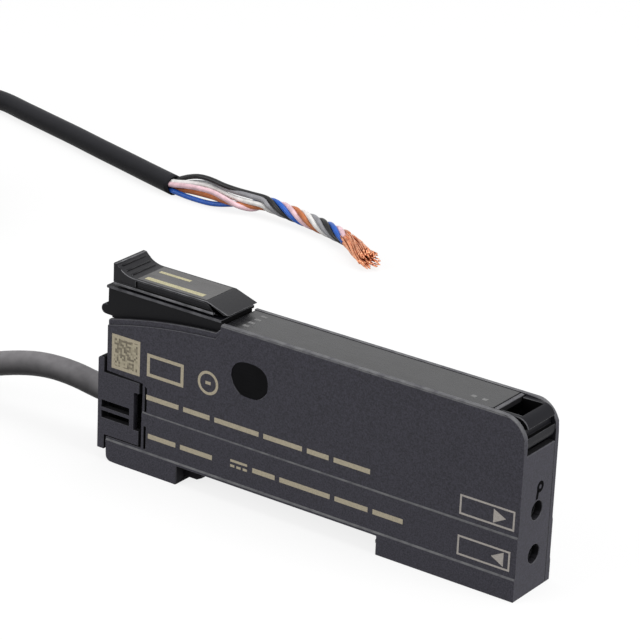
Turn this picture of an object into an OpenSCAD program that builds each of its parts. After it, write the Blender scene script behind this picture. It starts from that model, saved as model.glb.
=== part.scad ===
// Fibre optic sensor amplifier for a 35 mm mounting rail.
// Origin: middle of the base. +X points to the fibre ports, +Z is up, near side is -Y.

/* [Case] */
// Overall length, from the end cap to the fibre face
body_len = 77.5; // [75:0.5:90]
// Overall width across both side walls
body_w = 10; // [9.8:0.1:13]
// Height of the side walls above the base
case_h = 28.7; // [28:0.1:34]
// Thickness of the side walls, floor and ends
wall = 1.2; // [1.1:0.05:1.5]
// How far each lower band of a side wall stands proud of the band above
band_step = 0.15; // [0.05:0.05:0.2]
// Height of the bevel at each step of the side walls
band_bevel = 0.3; // [0.1:0.05:0.6]
// Height of the lower step of the side walls
low_step_z = 3.8; // [3.4:0.1:5]
// Height of the upper step of the side walls
high_step_z = 10.4; // [8:0.1:13]
// Radius of the top corner of the side walls at the fibre end
corner_r = 4; // [3:0.1:6]
// Bevel along the top edge of the side walls
top_bevel = 0.15; // [0.1:0.05:0.6]
// Running gap between fitted pieces
fit_gap = 0.1; // [0.05:0.01:0.15]

/* [Rail foot] */
// Width of the mounting rail
rail_w = 35; // [34:0.5:36]
// Thickness of the rail's flange
rail_t = 1; // [0.8:0.1:1.2]
// Play of the rail between the fixed lip and the hook
rail_play = 0.15; // [0.05:0.05:0.3]
// Height of the rail seat above the base
seat_z = 3.1; // [2.9:0.1:4]
// Distance of the hook's catch from the cable end
catch_in = 18.1; // [17.6:0.1:19]
// Reach of the fixed lip under the rail
lip_reach = 0.9; // [0.6:0.1:1.4]
// Reach of the sprung hook under the rail
hook_reach = 1.05; // [0.7:0.05:1.4]
// Height of the foot at the cable end
rear_foot_h = 4.15; // [4:0.05:5]
// Half width of the hook
hook_half_w = 2.8; // [2:0.1:3]
// Travel of the hook
hook_travel = 1.6; // [1.2:0.1:2]
// Wall of the foot behind the hook's spring
tunnel_wall = 1.8; // [1.2:0.1:2.5]
// Thickness of the hook's slider
hook_t = 2; // [1.8:0.1:2.1]

/* [End cap] */
// Length of the end cap along the case
cap_len = 8.15; // [7.5:0.05:9]
// Height of the end cap's lower edge above the base
cap_low_z = 1.85; // [1:0.05:3]
// Height of the end cap's tab
cap_top_z = 17.45; // [16:0.05:19]
// Height of the end cap's side plates
cheek_top_z = 14.9; // [14.6:0.05:15.5]
// Wall of the end cap
cap_wall = 1.1; // [0.9:0.05:1.2]
// Gap between the end cap and the case
cap_gap = 0.2; // [0.15:0.05:0.4]
// Width of the slit between the end cap and the case wall
cap_slit = 0.45; // [0.3:0.05:0.6]
// Set-back of the case's end behind the end cap's face
end_inset = 1.5; // [1.2:0.1:2]
// Length of the two grip slots
grip_slot_len = 5.5; // [4:0.1:6]
// Height of each grip slot
grip_slot_h = 1.2; // [0.8:0.05:1.4]
// Height of the lower grip slot's middle
grip_slot_z = 7.75; // [7.4:0.05:8.5]
// Pitch of the grip slots
grip_slot_pitch = 1.8; // [1.6:0.05:2.2]

/* [Key deck and lid] */
// Length of the deck along the case
deck_len = 21.4; // [20:0.1:23]
// Height of the deck above the top board
deck_h = 5.4; // [5.2:0.1:6]
// Thickness of the deck's walls and top
deck_wall = 1; // [0.8:0.05:1.2]
// Height of the deck above the side walls
deck_rise = 0.5; // [0.4:0.05:0.8]
// Thickness of the deck's rim
rim_t = 0.45; // [0.3:0.05:0.45]
// Half width of the deck's rim
rim_half_w = 4.2; // [4:0.05:4.5]
// Radius of the round nub at the deck's cable end
nub_r = 0.85; // [0.7:0.05:1.1]
// Distance of the nub's middle from the case's end
nub_out = 1.3; // [1.1:0.05:1.5]
// Depth of the recess in the side walls at the cable end
recess_deep = 4.9; // [4:0.1:5]
// Depth of the recess in the side walls at its inner end
recess_shallow = 1.6; // [1:0.1:2.5]
// Bow of the recess edge above its chord
recess_bow = 0.55; // [0.1:0.05:0.9]
// Width of the set-back band along the recess edge
recess_band = 0.9; // [0.5:0.05:1.2]
// Depth of the set-back band
recess_set = 0.25; // [0.15:0.05:0.35]
// Half width of the lid
lid_half_w = 3.7; // [3.5:0.05:4]
// Wall of the lid
lid_wall = 0.75; // [0.65:0.05:0.9]
// Gap between the lid and the deck's rim
lid_gap = 0.35; // [0.2:0.05:0.5]
// Length of the lid to its tip
lid_len = 22.3; // [21:0.1:24]
// Height of the label face above the lid's lower edge
lid_face_h = 1.75; // [1.7:0.05:2.4]
// Height of the finger hump above the lid's lower edge
lid_hump_h = 3.4; // [3:0.05:4.2]
// Length of the sloping tip
lid_tip_len = 4.1; // [3:0.1:5]
// Height of the tip's sharp edge above the lid's lower edge
lid_tip_h = 0.45; // [0.4:0.05:0.8]
// Depth of the groove along each side of the lid
lid_groove = 0.3; // [0.2:0.05:0.35]
// Radius of the hollow finger ramp
ramp_r = 4.6; // [4:0.1:6]
// Radius of the ribs on the finger ramp
rib_r = 0.18; // [0.1:0.02:0.25]
// Radius of the lid's hinge pin
hinge_pin_r = 0.25; // [0.2:0.01:0.3]
// Running clearance of the hinge pin
hinge_clearance = 0.03; // [0.02:0.01:0.08]
// Height of the hinge pin above the lid's lower edge
hinge_rise = 0.65; // [0.6:0.05:0.8]

/* [Keys] */
// Gap between neighbouring keys
key_spacing = 1.1; // [0.9:0.05:1.3]
// Half width of a key
key_half_w = 2; // [1.6:0.1:2.2]
// Height of a key above the deck
key_rise = 0.5; // [0.3:0.05:0.7]
// Width of the retaining collar round a key
key_collar = 0.3; // [0.2:0.05:0.35]
// Thickness of the retaining collar
key_collar_t = 0.6; // [0.4:0.05:0.8]
// Travel of a key
key_travel = 0.4; // [0.3:0.05:0.5]
// Gap under a key's stem at rest, beyond the travel
key_spare = 0.05; // [0.03:0.01:0.1]
// Height of a key switch
switch_h = 1.4; // [1.2:0.05:1.6]

/* [Display] */
// Thickness of the display window
window_t = 1.1; // [0.8:0.05:1.3]
// Width of the bar in front of the lever
bar_w = 0.7; // [0.5:0.05:1]
// Length of each digit display
digit_len = 12; // [9:0.5:14]
// Gap between the two digit displays
digit_gap = 1.5; // [1:0.1:3]
// Distance of the digit displays from the window's fibre end
digit_in = 11.1; // [8:0.1:14]
// Gap between the digit displays and the window
digit_clear = 0.3; // [0.2:0.05:0.6]

/* [Communication windows] */
// Radius of a communication window
comm_r = 3.55; // [2.5:0.05:3.7]
// Distance of a communication window from the case's cable end
comm_x = 27.45; // [26:0.05:30]
// Drop of a communication window's middle below the wall top
comm_drop = 7; // [6.7:0.1:8.7]
// Set-back of a communication window in its wall
comm_set = 0.1; // [0.05:0.05:0.3]

/* [Fibre ports] */
// Radius of a fibre port
port_r = 1.15; // [1.05:0.01:1.3]
// Radius of a port's mouth in the end face
port_mouth_r = 1.5; // [1.4:0.05:1.8]
// Height of the lower port
port_low_z = 6.1; // [5.9:0.1:7]
// Pitch of the ports
port_pitch = 7; // [6:0.1:8]
// Length of the fibre block
block_len = 11.5; // [10.5:0.1:13]
// Gap between the fibre block and the top board
block_gap = 2.5; // [2.3:0.1:3.5]
// Radius of the emitter and the receiver
optic_r = 1.6; // [1.4:0.05:1.8]
// Length of the emitter and the receiver
optic_len = 3.2; // [2.5:0.1:4]
// Thickness of the fibre clamp
clamp_t = 1; // [0.8:0.05:1.2]
// Half width of the fibre clamp
clamp_half_w = 2.6; // [2:0.05:2.8]
// Lift of the fibre clamp when the lever is open
clamp_lift = 0.8; // [0.5:0.05:0.9]

/* [Lock lever] */
// Drop of the end face under the lever below the wall top
end_face_drop = 5.8; // [5.7:0.1:6.3]
// Distance of the lever's pivot from the end face
pivot_in = 1.65; // [1.6:0.05:1.9]
// Drop of the lever's pivot below the wall top
pivot_drop = 4.05; // [3.9:0.05:4.2]
// Radius of the lever's heel
heel_r = 1.5; // [1.3:0.05:1.55]
// Radius of the lever's trunnions
trunnion_r = 0.6; // [0.5:0.02:0.7]
// Running clearance of the trunnions
trunnion_clearance = 0.03; // [0.02:0.01:0.08]
// Reach of a trunnion into the side wall
trunnion_reach = 0.5; // [0.3:0.05:0.55]
// Set-back of the lever's top below the wall top
lever_drop = 0.25; // [0.15:0.05:0.5]
// Radius of the lever's top corner
lever_corner_r = 2; // [1.5:0.1:2.2]
// Width of each of the lever's side arms
arm_w = 0.8; // [0.6:0.05:1]
// Thickness of the lever's arms
arm_t = 2.1; // [1.8:0.05:2.1]
// Length of the lever's front bar
lever_bar = 1.75; // [1.4:0.05:2]
// Height of the lever's front groove
groove_h = 1.4; // [1:0.05:1.5]
// Depth of the lever's front groove
groove_deep = 0.7; // [0.4:0.05:0.9]

/* [Boards] */
// Thickness of the circuit boards
board_t = 0.8; // [0.6:0.05:1]
// Distance of the main board from the side cover
board_set = 0.5; // [0.3:0.05:0.8]
// Side of the controller chip
chip_side = 7; // [5:0.5:9]
// Thickness of the chips
chip_t = 1.2; // [0.8:0.1:1.6]
// Radius of the smoothing capacitor
capacitor_r = 2; // [1.5:0.1:2]

/* [Cable] */
// Diameter of the cable
cable_d = 4; // [3.8:0.1:4.2]
// Height of the cable's exit
exit_z = 9.2; // [9.1:0.05:9.4]
// Wall of the cable bush
bush_wall = 0.9; // [0.6:0.05:1]
// Length of the cable bush behind the end cap
bush_len = 5; // [4:0.1:5.5]
// Diameter of a core
core_d = 1; // [0.9:0.02:1.04]
// Diameter of a core's bare strands
strand_d = 0.55; // [0.4:0.05:0.7]
// Radius of the twist of the cores
twist_r = 1.25; // [1.2:0.01:1.3]
// Extra spread of the cores where they leave the jacket
core_spread = 1.1; // [0.4:0.1:1.4]
// Diameter across the middle of the coil's turns
coil_d = 44; // [40:1:48]
// Turns side by side in the coil
coil_wide = 4; // [3:1:5]
// Layers of turns in the coil
coil_layers = 3; // [2:1:4]
// Thickness of the tie round the coil
tie_t = 0.8; // [0.5:0.1:1.2]
// Width of the tie
tie_w = 6; // [4:0.5:10]

/* [Hidden] */
$fn = 64;
eps = 0.01;
overcut = 5;

// Main faces of the case
cable_x = -body_len / 2;
fibre_x = body_len / 2;
case_x = cable_x + end_inset;
half_w = body_w / 2;
inner_w = half_w - wall;
floor_z = seat_z + wall;
upper_face = half_w - 2 * band_step;

// Rail seat: fixed lip on the fibre side, sprung hook on the cable side
catch_x = cable_x + catch_in;
lip_x = catch_x + rail_w + rail_play;
lip_z = seat_z - rail_t - 2 * fit_gap;
foot_set = 0.2;
rear_foot_l = case_x + foot_set;
hook_neck = 2.4;
rear_foot_r = catch_x - hook_neck;
foot_corner_r = 1;
lip_t = 1.2;
hook_base_z = 0.8;
hook_top_z = hook_base_z + hook_t;
spring_solid = 2.6;
spring_len = spring_solid + hook_travel;
tunnel_l = rear_foot_l + tunnel_wall;
hook_l = tunnel_l + spring_len;

// End cap and the slits beside it
cap_r = cable_x + cap_len;
cap_end_t = 1.3;
wall_cut_x = cap_r + cap_slit;
cap_notch_w = 1.05;
cap_notch_low = 6.8;
cap_notch_high = 13.1;
rib_w = 0.45;
slit_w = 0.4;
slit_x = wall_cut_x + rib_w;
slit_low = 4.1;
slit_bridge_low = 7.9;
slit_bridge_high = 10.4;
slit_high = 14.5;
tab_slit_w = 0.35;
tab_r = case_x - tab_slit_w;
cap_corner_r = 0.55;
grip_in = 0.75;
shelf_z = cheek_top_z + cap_gap;

// Deck, lid and keys
deck_top = case_h + deck_rise;
deck_base = deck_top - deck_h;
deck_r = case_x + deck_len;
deck_half_w = inner_w - fit_gap;
rim_over = 0.75;
recess_r = deck_r + 3 * fit_gap;
recess_corner = 1;
recess_steps = 10;
nub_z = deck_base + nub_r + 3 * fit_gap;
lid_low = deck_top + lid_gap;
lid_set = 0.1;
lid_l = case_x + lid_set;
lid_tip_x = lid_l + lid_len;
lid_face_z = lid_low + lid_face_h;
lid_hump_z = lid_low + lid_hump_h;
ramp_len = 4.1;
ramp_foot_x = lid_l + ramp_len;
hinge_in = 0.65;
hinge_x = lid_l + hinge_in;
hinge_z = lid_low + hinge_rise;
hinge_solid = 1.25;
knuckle_r = 0.5;
knuckle_half_w = 1.4;
knuckle_gap = 0.15;
knuckle_web = 0.4;
knuckle_sweep_r = 1.25;
lid_chamfer = 0.3;
lid_under_len = 2.7;
lid_flange_t = 0.4;
lid_flange_w = 0.35;
groove_in = 0.3;
groove_top_t = 0.35;
groove_tip_in = 1.55;
cavity_l = lid_l + hinge_solid;
tip_solid = 3.6;
cavity_r = lid_tip_x - tip_solid;
cavity_top = lid_face_z - lid_wall;
cavity_half_w = lid_half_w - lid_wall;
pin_skin = 0.3;
hinge_pin_half = lid_half_w - pin_skin;
rib_count = 3;
rib_end = 0.6;
rib_set = 0.9;
rib_half_w = lid_half_w - rib_set;
key_count = 4;
key_margin = 0.5;
key_zone_l = cavity_l + key_margin;
key_pitch = (cavity_r - key_margin - key_zone_l) / key_count;
key_len = key_pitch - key_spacing;
plate_z = deck_top - deck_wall;
stem_half = 0.7;
key_base = deck_base + switch_h + key_travel + key_spare;
switch_half = 1.3;
plunger_h = 0.4;

// Boards and display
board_z = deck_base - board_t;
board_l = case_x + wall + fit_gap;
lever_room = 5.6;
bar_r = fibre_x - lever_room;
bar_l = bar_r - bar_w;
board_r = bar_l - 2 * fit_gap;
window_l = recess_r + 2 * fit_gap;
window_r = bar_l - fit_gap;
window_top = case_h - 0.5 * fit_gap;
window_half_w = inner_w - 0.5 * fit_gap;
digit_half_w = 3.2;
digit_mid_x = window_r - digit_in - digit_len - digit_gap / 2;
main_y = inner_w - board_set - board_t;
main_l = wall_cut_x + wall;
main_gap = 1;
main_r = fibre_x - wall - block_len - main_gap;
main_mid_z = (floor_z + board_z) / 2;
main_mid_x = (main_l + main_r) / 2;
transistor_in = 5;
transistor_pitch = 8;
regulator_in = 12;
regulator_size = [4.2, chip_t, 5];
transistor_size = [3, chip_t, 2.8];
optics_size = [3.2, 1.7, 1.6];
capacitor_gap = 3;
capacitor_clear = 1;

// Communication window
comm_at = case_x + comm_x;
comm_z = case_h - comm_drop;
comm_gap = 0.02;
comm_face = upper_face - comm_set;

// Fibre block, clamp and lever
block_seat = wall;
block_x = fibre_x - wall;
block_l = block_x - block_len;
block_top = board_z - block_gap;
block_half_w = inner_w - 0.5 * fit_gap;
port_z = [port_low_z, port_low_z + port_pitch];
pocket_wall = 0.4;
pocket_gap = 0.05;
port_floor_x = block_l + pocket_wall + optic_len;
clamp_in = 4;
clamp_x = block_x - clamp_in;
clamp_clear = 0.02;
clamp_foot = 0.7;
clamp_base = port_low_z - port_r - clamp_lift - clamp_foot;
clamp_pit_z = block_seat + pocket_wall;
pivot_x = fibre_x - pivot_in;
pivot_z = case_h - pivot_drop;
end_face_z = case_h - end_face_drop;
lever_half_w = inner_w - 1.5 * fit_gap;
lever_top = case_h - lever_drop;
lever_front = pivot_x + heel_r;
lever_l = bar_r + 2 * fit_gap;
groove_rise = 0.85;
groove_z = pivot_z + groove_rise;
cam_rise = 0.35;
clamp_top = pivot_z - heel_r + cam_rise;
cam_half_w = 1.2;
cam_t = 0.7;

// Cable: the route's points are chosen by hand
bush_r = cable_d / 2 + bush_wall;
neck_wall = 0.5;
bush_neck_r = cable_d / 2 + neck_wall;
bush_gap = 0.02;
cable_sides = 12;
core_sides = 8;
bush_inner_x = cable_x + cap_end_t + bush_len;
lead_points = [
    [bush_inner_x, 0, exit_z], [cable_x, 0, exit_z], [-43, 0, 9.6], [-47, 0, 10.1], [-51, 0, 10.2],
    [-55, 0, 9.8], [-59, 0, 8.9], [-63.5, 0, 7.5], [-69, 0.2, 5.4], [-75, 0.8, 3.4], [-82, 1.8, 2.2],
    [-91, 3.2, 2], [-101, 5, 2], [-112, 7.2, 2], [-123, 9.4, 2], [-134, 11.2, 2], [-141, 12, 2]
];
tail_points = [
    [-178, 43, 2], [-179.4, 54, 2], [-181.8, 66, 2], [-184.2, 78, 2], [-185.6, 90, 2],
    [-184.4, 101, 2], [-180, 109.6, 2], [-172.6, 114.8, 2], [-163, 115.5, 2], [-154, 113.2, 2],
    [-145.5, 110.8, 2], [-137, 108.4, 2], [-128.5, 105.8, 2], [-120, 103.3, 2], [-112, 100.9, 2],
    [-104, 98.6, 2]
];
core_axis = [
    [-104, 98.6, 2], [-98.5, 99.3, 2.5], [-93, 100, 3], [-87.5, 100.5, 3], [-81.5, 100.7, 2.6],
    [-75.5, 100.4, 2.2], [-69, 99.2, 2], [-63, 97.4, 2], [-57.5, 95, 2]
];
strand_end = [-51, 91.6, 2];
core_count = 6;
loose_stations = 4;
loose_turn = 20;
tight_turn = 54;
coil_at = [-150, 40];
coil_half_w = coil_wide * cable_d / 2;
coil_in = coil_d / 2 - coil_half_w;
coil_out = coil_d / 2 + coil_half_w;
coil_h = coil_layers * cable_d;
tie_angle = 65;

// Springs
spring_wire_r = 0.1;
spring_sides = 6;
spring_turn_steps = 10;
clamp_spring_turns = 3;
hook_spring_turns = 5;

// Colours
case_colour = "#39393f";
trim_colour = "#4a4a4e";
black_colour = "#19191e";
panel_colour = "#6c6c6c";
board_colour = "#1f5a36";
chip_colour = "#202022";
steel_colour = "#b8b8bc";
jacket_colour = "#77757a";
copper_colour = "#a96141";

// Block between two corners
module block(low, high) {
    translate(low) cube(high - low);
}

// Outline in the X-Z plane, from one depth to the other
module slab(y_from, y_to) {
    translate([0, y_to, 0]) rotate([90, 0, 0]) linear_extrude(y_to - y_from) children();
}

// Rectangle between two corners of an outline
module area(low, high) {
    translate(low) square(high - low);
}

// Round bar along Y
module bar_y(r, y_from, y_to, x, z) {
    translate([x, y_to, z]) rotate([90, 0, 0]) cylinder(r = r, h = y_to - y_from);
}

// Round bar along X
module bar_x(r, x_from, x_to, y, z) {
    translate([x_from, y, z]) rotate([0, 90, 0]) cylinder(r = r, h = x_to - x_from);
}

// Same shape on both sides of the middle plane
module both_sides() {
    children();
    mirror([0, 1, 0]) children();
}

// Unit vector
function unit(v) = v / norm(v);

// Heading of a route at one of its points
function heading(route, i) = unit(route[min(i + 1, len(route) - 1)] - route[max(i - 1, 0)]);

// Directions to the left of and above a heading
function left_of(t) = unit(cross([0, 0, 1], t));
function above(t) = cross(t, left_of(t));

// One ring of a tube
function ring(route, i, r, n) =
    let (t = heading(route, i), s = left_of(t), u = above(t))
    [for (k = [0:n - 1]) route[i] + r * (cos(360 * k / n) * s + sin(360 * k / n) * u)];

// Closed tube along a route
module tube(route, r, n) {
    last = len(route) - 1;
    points = [for (i = [0:last]) each ring(route, i, r, n)];
    sides = [
        for (i = [0:last - 1], k = [0:n - 1])
        let (a = i * n + k, b = i * n + (k + 1) % n)
        each [[a, a + n, b + n], [a, b + n, b]]
    ];
    first_cap = [for (k = [0:n - 1]) k];
    last_cap = [for (k = [n - 1:-1:0]) last * n + k];
    polyhedron(points, concat(sides, [first_cap, last_cap]));
}

// Points of the bowed lower edge of the side recess, from the cable end inwards
function recess_edge(i) =
    let (f = i / recess_steps)
    [
        case_x + f * (recess_r - recess_corner - case_x),
        case_h - recess_deep + f * (recess_deep - recess_shallow) + 4 * recess_bow * f * (1 - f)
    ];

// Cut-out of a side wall round the deck
module recess_area() {
    edge = [for (i = [0:recess_steps]) recess_edge(i)];
    low_end = [case_x - overcut, recess_edge(0)[1]];
    inner_end = [recess_r, case_h - recess_shallow + recess_corner];
    top = case_h + overcut;
    polygon(concat([low_end], edge, [inner_end, [recess_r, top], [case_x - overcut, top]]));
}

// Outline of a side wall with its feet
module side_area() {
    difference() {
        union() {
            area([case_x, seat_z], [fibre_x - corner_r, case_h]);
            area([case_x, seat_z], [fibre_x, case_h - corner_r]);
            translate([fibre_x - corner_r, case_h - corner_r]) circle(corner_r);
            area([lip_x, 0], [fibre_x, seat_z + eps]);
            area([rear_foot_l + foot_corner_r, 0], [rear_foot_r, rear_foot_h]);
            area([rear_foot_l, foot_corner_r], [rear_foot_r, rear_foot_h]);
            translate([rear_foot_l + foot_corner_r, foot_corner_r]) circle(foot_corner_r);
        }
        area([case_x - overcut, rear_foot_h], [wall_cut_x, shelf_z]);
        area([case_x - overcut, seat_z - overcut], [rear_foot_l - foot_set / 2, rear_foot_h + eps]);
        area([slit_x, slit_low], [slit_x + slit_w, slit_bridge_low]);
        area([slit_x, slit_bridge_high], [slit_x + slit_w, slit_high]);
        recess_area();
    }
}

// Stepped section of a side wall on the near side
module wall_section() {
    mid_face = half_w - band_step;
    rotate([90, 0, 90]) linear_extrude(2 * body_len) polygon([
        [-inner_w, 0], [-half_w, 0], [-half_w, low_step_z - band_bevel], [-mid_face, low_step_z],
        [-mid_face, high_step_z - band_bevel], [-upper_face, high_step_z],
        [-upper_face, case_h - top_bevel], [-upper_face + top_bevel, case_h], [-inner_w, case_h]
    ]);
}

// Side wall on the near side, with its window hole and lever socket
module side_wall() {
    difference() {
        intersection() {
            slab(-half_w, -inner_w) side_area();
            translate([-body_len, 0, 0]) wall_section();
        }
        slab(-half_w - overcut, -upper_face + recess_set) translate([0, -recess_band]) recess_area();
        bar_y(comm_r, -half_w - overcut, half_w, comm_at, comm_z);
        socket_depth = trunnion_reach + fit_gap;
        bar_y(trunnion_r + trunnion_clearance, -inner_w - socket_depth, half_w, pivot_x, pivot_z);
    }
}

// Foot under the fibre end: hollow, with the fixed lip for the rail
module front_foot() {
    block([lip_x, -inner_w, 0], [fibre_x, inner_w, wall]);
    block([lip_x, -inner_w, 0], [lip_x + wall, inner_w, floor_z]);
    slab(-inner_w, inner_w) polygon([
        [lip_x + eps, lip_z - lip_t], [lip_x - lip_reach, lip_z - lip_t / 2],
        [lip_x - lip_reach, lip_z], [lip_x + eps, lip_z]
    ]);
}

// Foot under the cable end, with the tunnel of the rail hook
module rear_foot() {
    difference() {
        slab(-inner_w, inner_w) intersection() {
            side_area();
            area([rear_foot_l, 0], [rear_foot_r, rear_foot_h]);
        }
        tunnel_low = [tunnel_l, -hook_half_w - fit_gap, hook_base_z - fit_gap];
        block(tunnel_low, [rear_foot_r + eps, hook_half_w + fit_gap, hook_top_z + fit_gap]);
    }
}

module case_shell() {
    color(case_colour) {
        side_wall();
        front_foot();
        rear_foot();
        block([wall_cut_x, -inner_w, seat_z], [lip_x + wall, inner_w, floor_z]);
        difference() {
            block([block_x, -inner_w, 0], [fibre_x, inner_w, end_face_z]);
            for (z = port_z) {
                bar_x(port_mouth_r, block_x - eps, fibre_x + eps, 0, z);
            }
        }
        block([case_x, -inner_w, shelf_z], [case_x + wall, inner_w, board_z]);
        block([case_x, -inner_w, shelf_z], [wall_cut_x, inner_w, shelf_z + wall]);
        block([bar_l, -inner_w, case_h - window_t], [bar_r, inner_w, case_h - fit_gap]);
    }
}

module side_cover() {
    color(case_colour) mirror([0, 1, 0]) side_wall();
}

// Outline of the end cap's side plates
module cap_area() {
    difference() {
        union() {
            area([cable_x, cap_low_z], [cable_x + cap_end_t, cheek_top_z]);
            area([cable_x, rear_foot_h + cap_gap], [cap_r, cheek_top_z]);
            area([cable_x, cheek_top_z - eps], [tab_r, cap_top_z - cap_corner_r]);
            area([cable_x + cap_corner_r, cheek_top_z - eps], [tab_r, cap_top_z]);
            translate([cable_x + cap_corner_r, cap_top_z - cap_corner_r]) circle(cap_corner_r);
        }
        area([cap_r - cap_notch_w, cap_notch_low], [cap_r + eps, cap_notch_high]);
    }
}

module end_cap() {
    color(case_colour) difference() {
        slab(-half_w, half_w) cap_area();
        room_low = [cable_x + cap_end_t, -half_w + cap_wall, rear_foot_h + cap_gap + cap_wall];
        block(room_low, [cap_r + eps, half_w - cap_wall, cheek_top_z - cap_wall]);
        bar_x(bush_neck_r + bush_gap, cable_x - eps, cable_x + cap_end_t + eps, 0, exit_z);
        for (i = [0, 1]) {
            z = grip_slot_z + i * grip_slot_pitch;
            slot_low = [cable_x + grip_in, -half_w - eps, z - grip_slot_h / 2];
            both_sides() block(slot_low, slot_low + [grip_slot_len, cap_wall + 2 * eps, grip_slot_h]);
        }
    }
}

module cable_bush() {
    color(black_colour) difference() {
        union() {
            bar_x(bush_neck_r, cable_x, cable_x + cap_end_t + eps, 0, exit_z);
            bar_x(bush_r, cable_x + cap_end_t, bush_inner_x, 0, exit_z);
        }
        bar_x(cable_d / 2 + bush_gap, cable_x - eps, bush_inner_x + eps, 0, exit_z);
    }
}

// Middle of a key along the case
function key_x(i) = key_zone_l + (i + 0.5) * key_pitch;

module key_deck() {
    color(black_colour) difference() {
        union() {
            block([case_x, -deck_half_w, deck_base], [deck_r, deck_half_w, deck_top]);
            block([case_x - rim_over, -rim_half_w, deck_top - rim_t], [deck_r, rim_half_w, deck_top]);
            bar_y(nub_r, -deck_half_w, deck_half_w, case_x - nub_out, nub_z);
            neck_low = [case_x - nub_out, -deck_half_w, nub_z - nub_r];
            block(neck_low, [case_x + eps, deck_half_w, nub_z + nub_r]);
            heel_low = [case_x - rim_over, -deck_half_w, nub_z];
            block(heel_low, [case_x + eps, deck_half_w, deck_top - eps]);
            bar_y(knuckle_r, -knuckle_half_w, knuckle_half_w, hinge_x, hinge_z);
            web_low = [hinge_x - knuckle_web, -knuckle_half_w, deck_top - eps];
            block(web_low, [hinge_x + knuckle_web, knuckle_half_w, hinge_z]);
        }
        room_low = [case_x + deck_wall, -deck_half_w + deck_wall, deck_base - eps];
        block(room_low, [deck_r - deck_wall, deck_half_w - deck_wall, plate_z]);
        for (i = [0:key_count - 1]) {
            hole_half = [key_len / 2 + fit_gap, key_half_w + fit_gap];
            hole_low = [key_x(i) - hole_half[0], -hole_half[1], plate_z - eps];
            block(hole_low, [key_x(i) + hole_half[0], hole_half[1], deck_top + eps]);
        }
        pin_bore = hinge_pin_r + hinge_clearance;
        bar_y(pin_bore, -knuckle_half_w - eps, knuckle_half_w + eps, hinge_x, hinge_z);
    }
}

// Side outline of the lid
module lid_area() {
    face_end = lid_tip_x - lid_tip_len;
    lip_end = lid_tip_x - lid_under_len;
    difference() {
        polygon([
            [lid_l, lid_low + lid_chamfer], [lid_l + lid_chamfer, lid_low],
            [lip_end, lid_low], [lid_tip_x, lid_low + lid_tip_h],
            [face_end, lid_face_z], [ramp_foot_x, lid_face_z], [ramp_foot_x, lid_hump_z],
            [lid_l, lid_hump_z]
        ]);
        translate([ramp_foot_x, lid_face_z + ramp_r]) circle(ramp_r);
    }
}

// Side outline of the groove along the lid
module lid_groove_area() {
    groove_low = lid_low + lid_flange_t;
    groove_top = lid_face_z - groove_top_t;
    slope = lid_tip_len / (lid_face_h - lid_tip_h);
    top_r = lid_tip_x - groove_tip_in - slope * (groove_top - groove_low);
    polygon([
        [ramp_foot_x + groove_in, groove_low], [lid_tip_x - groove_tip_in, groove_low],
        [top_r, groove_top], [ramp_foot_x + groove_in, groove_top]
    ]);
}

module key_lid() {
    ramp_high = lid_hump_z - lid_face_z;
    ramp_angle = acos(1 - ramp_high / ramp_r);
    color(trim_colour) difference() {
        union() {
            slab(-lid_half_w, lid_half_w) lid_area();
            flange_low = [lid_l + lid_chamfer, -lid_half_w - lid_flange_w, lid_low];
            flange_r = lid_tip_x - lid_under_len;
            block(flange_low, [flange_r, lid_half_w + lid_flange_w, lid_low + lid_flange_t]);
            for (i = [1:rib_count]) {
                a = ramp_angle * i / (rib_count + rib_end);
                rib_x = ramp_foot_x - ramp_r * sin(a);
                bar_y(rib_r, -rib_half_w, rib_half_w, rib_x, lid_face_z + ramp_r * (1 - cos(a)));
            }
        }
        block([cavity_l, -cavity_half_w, lid_low - eps], [cavity_r, cavity_half_w, cavity_top]);
        both_sides() slab(-lid_half_w - eps, -lid_half_w + lid_groove) lid_groove_area();
        pin_bore = hinge_pin_r + hinge_clearance;
        pin_half = hinge_pin_half + fit_gap;
        bar_y(pin_bore, -pin_half, pin_half, hinge_x, hinge_z);
        notch_half = knuckle_half_w + knuckle_gap;
        bar_y(knuckle_sweep_r, -notch_half, notch_half, hinge_x, hinge_z);
    }
}

module lid_hinge_pin() {
    color(steel_colour) bar_y(hinge_pin_r, -hinge_pin_half, hinge_pin_half, hinge_x, hinge_z);
}

// Setting key: cap, retaining collar and stem
module setting_key(i) {
    x = key_x(i);
    half = [key_len / 2, key_half_w];
    collar_top = plate_z - fit_gap;
    cap_base = collar_top - key_collar_t;
    block([x - half[0], -half[1], cap_base], [x + half[0], half[1], deck_top + key_rise]);
    collar = half + [key_collar, key_collar];
    block([x - collar[0], -collar[1], cap_base], [x + collar[0], collar[1], collar_top]);
    block([x - stem_half, -stem_half, key_base], [x + stem_half, stem_half, cap_base + eps]);
}

module mode_key() {
    color(panel_colour) setting_key(0);
}

module up_key() {
    color(panel_colour) setting_key(1);
}

module down_key() {
    color(panel_colour) setting_key(2);
}

module set_key() {
    color(panel_colour) setting_key(3);
}

module key_switches() {
    color(chip_colour) for (i = [0:key_count - 1]) {
        body_low = [key_x(i) - switch_half, -switch_half, deck_base];
        block(body_low, body_low + [2 * switch_half, 2 * switch_half, switch_h - plunger_h]);
        translate([key_x(i), 0, deck_base]) cylinder(r = stem_half, h = switch_h);
    }
}

module display_window() {
    low = [window_l, -window_half_w, case_h - window_t];
    color(panel_colour) block(low, [window_r, window_half_w, window_top]);
}

// Digit display to one side of the window's middle
module digit_display(x_from) {
    low = [x_from, -digit_half_w, deck_base];
    block(low, [x_from + digit_len, digit_half_w, case_h - window_t - digit_clear]);
}

module digit_display_red() {
    color("#5a1a18") digit_display(digit_mid_x - digit_gap / 2 - digit_len);
}

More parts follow.
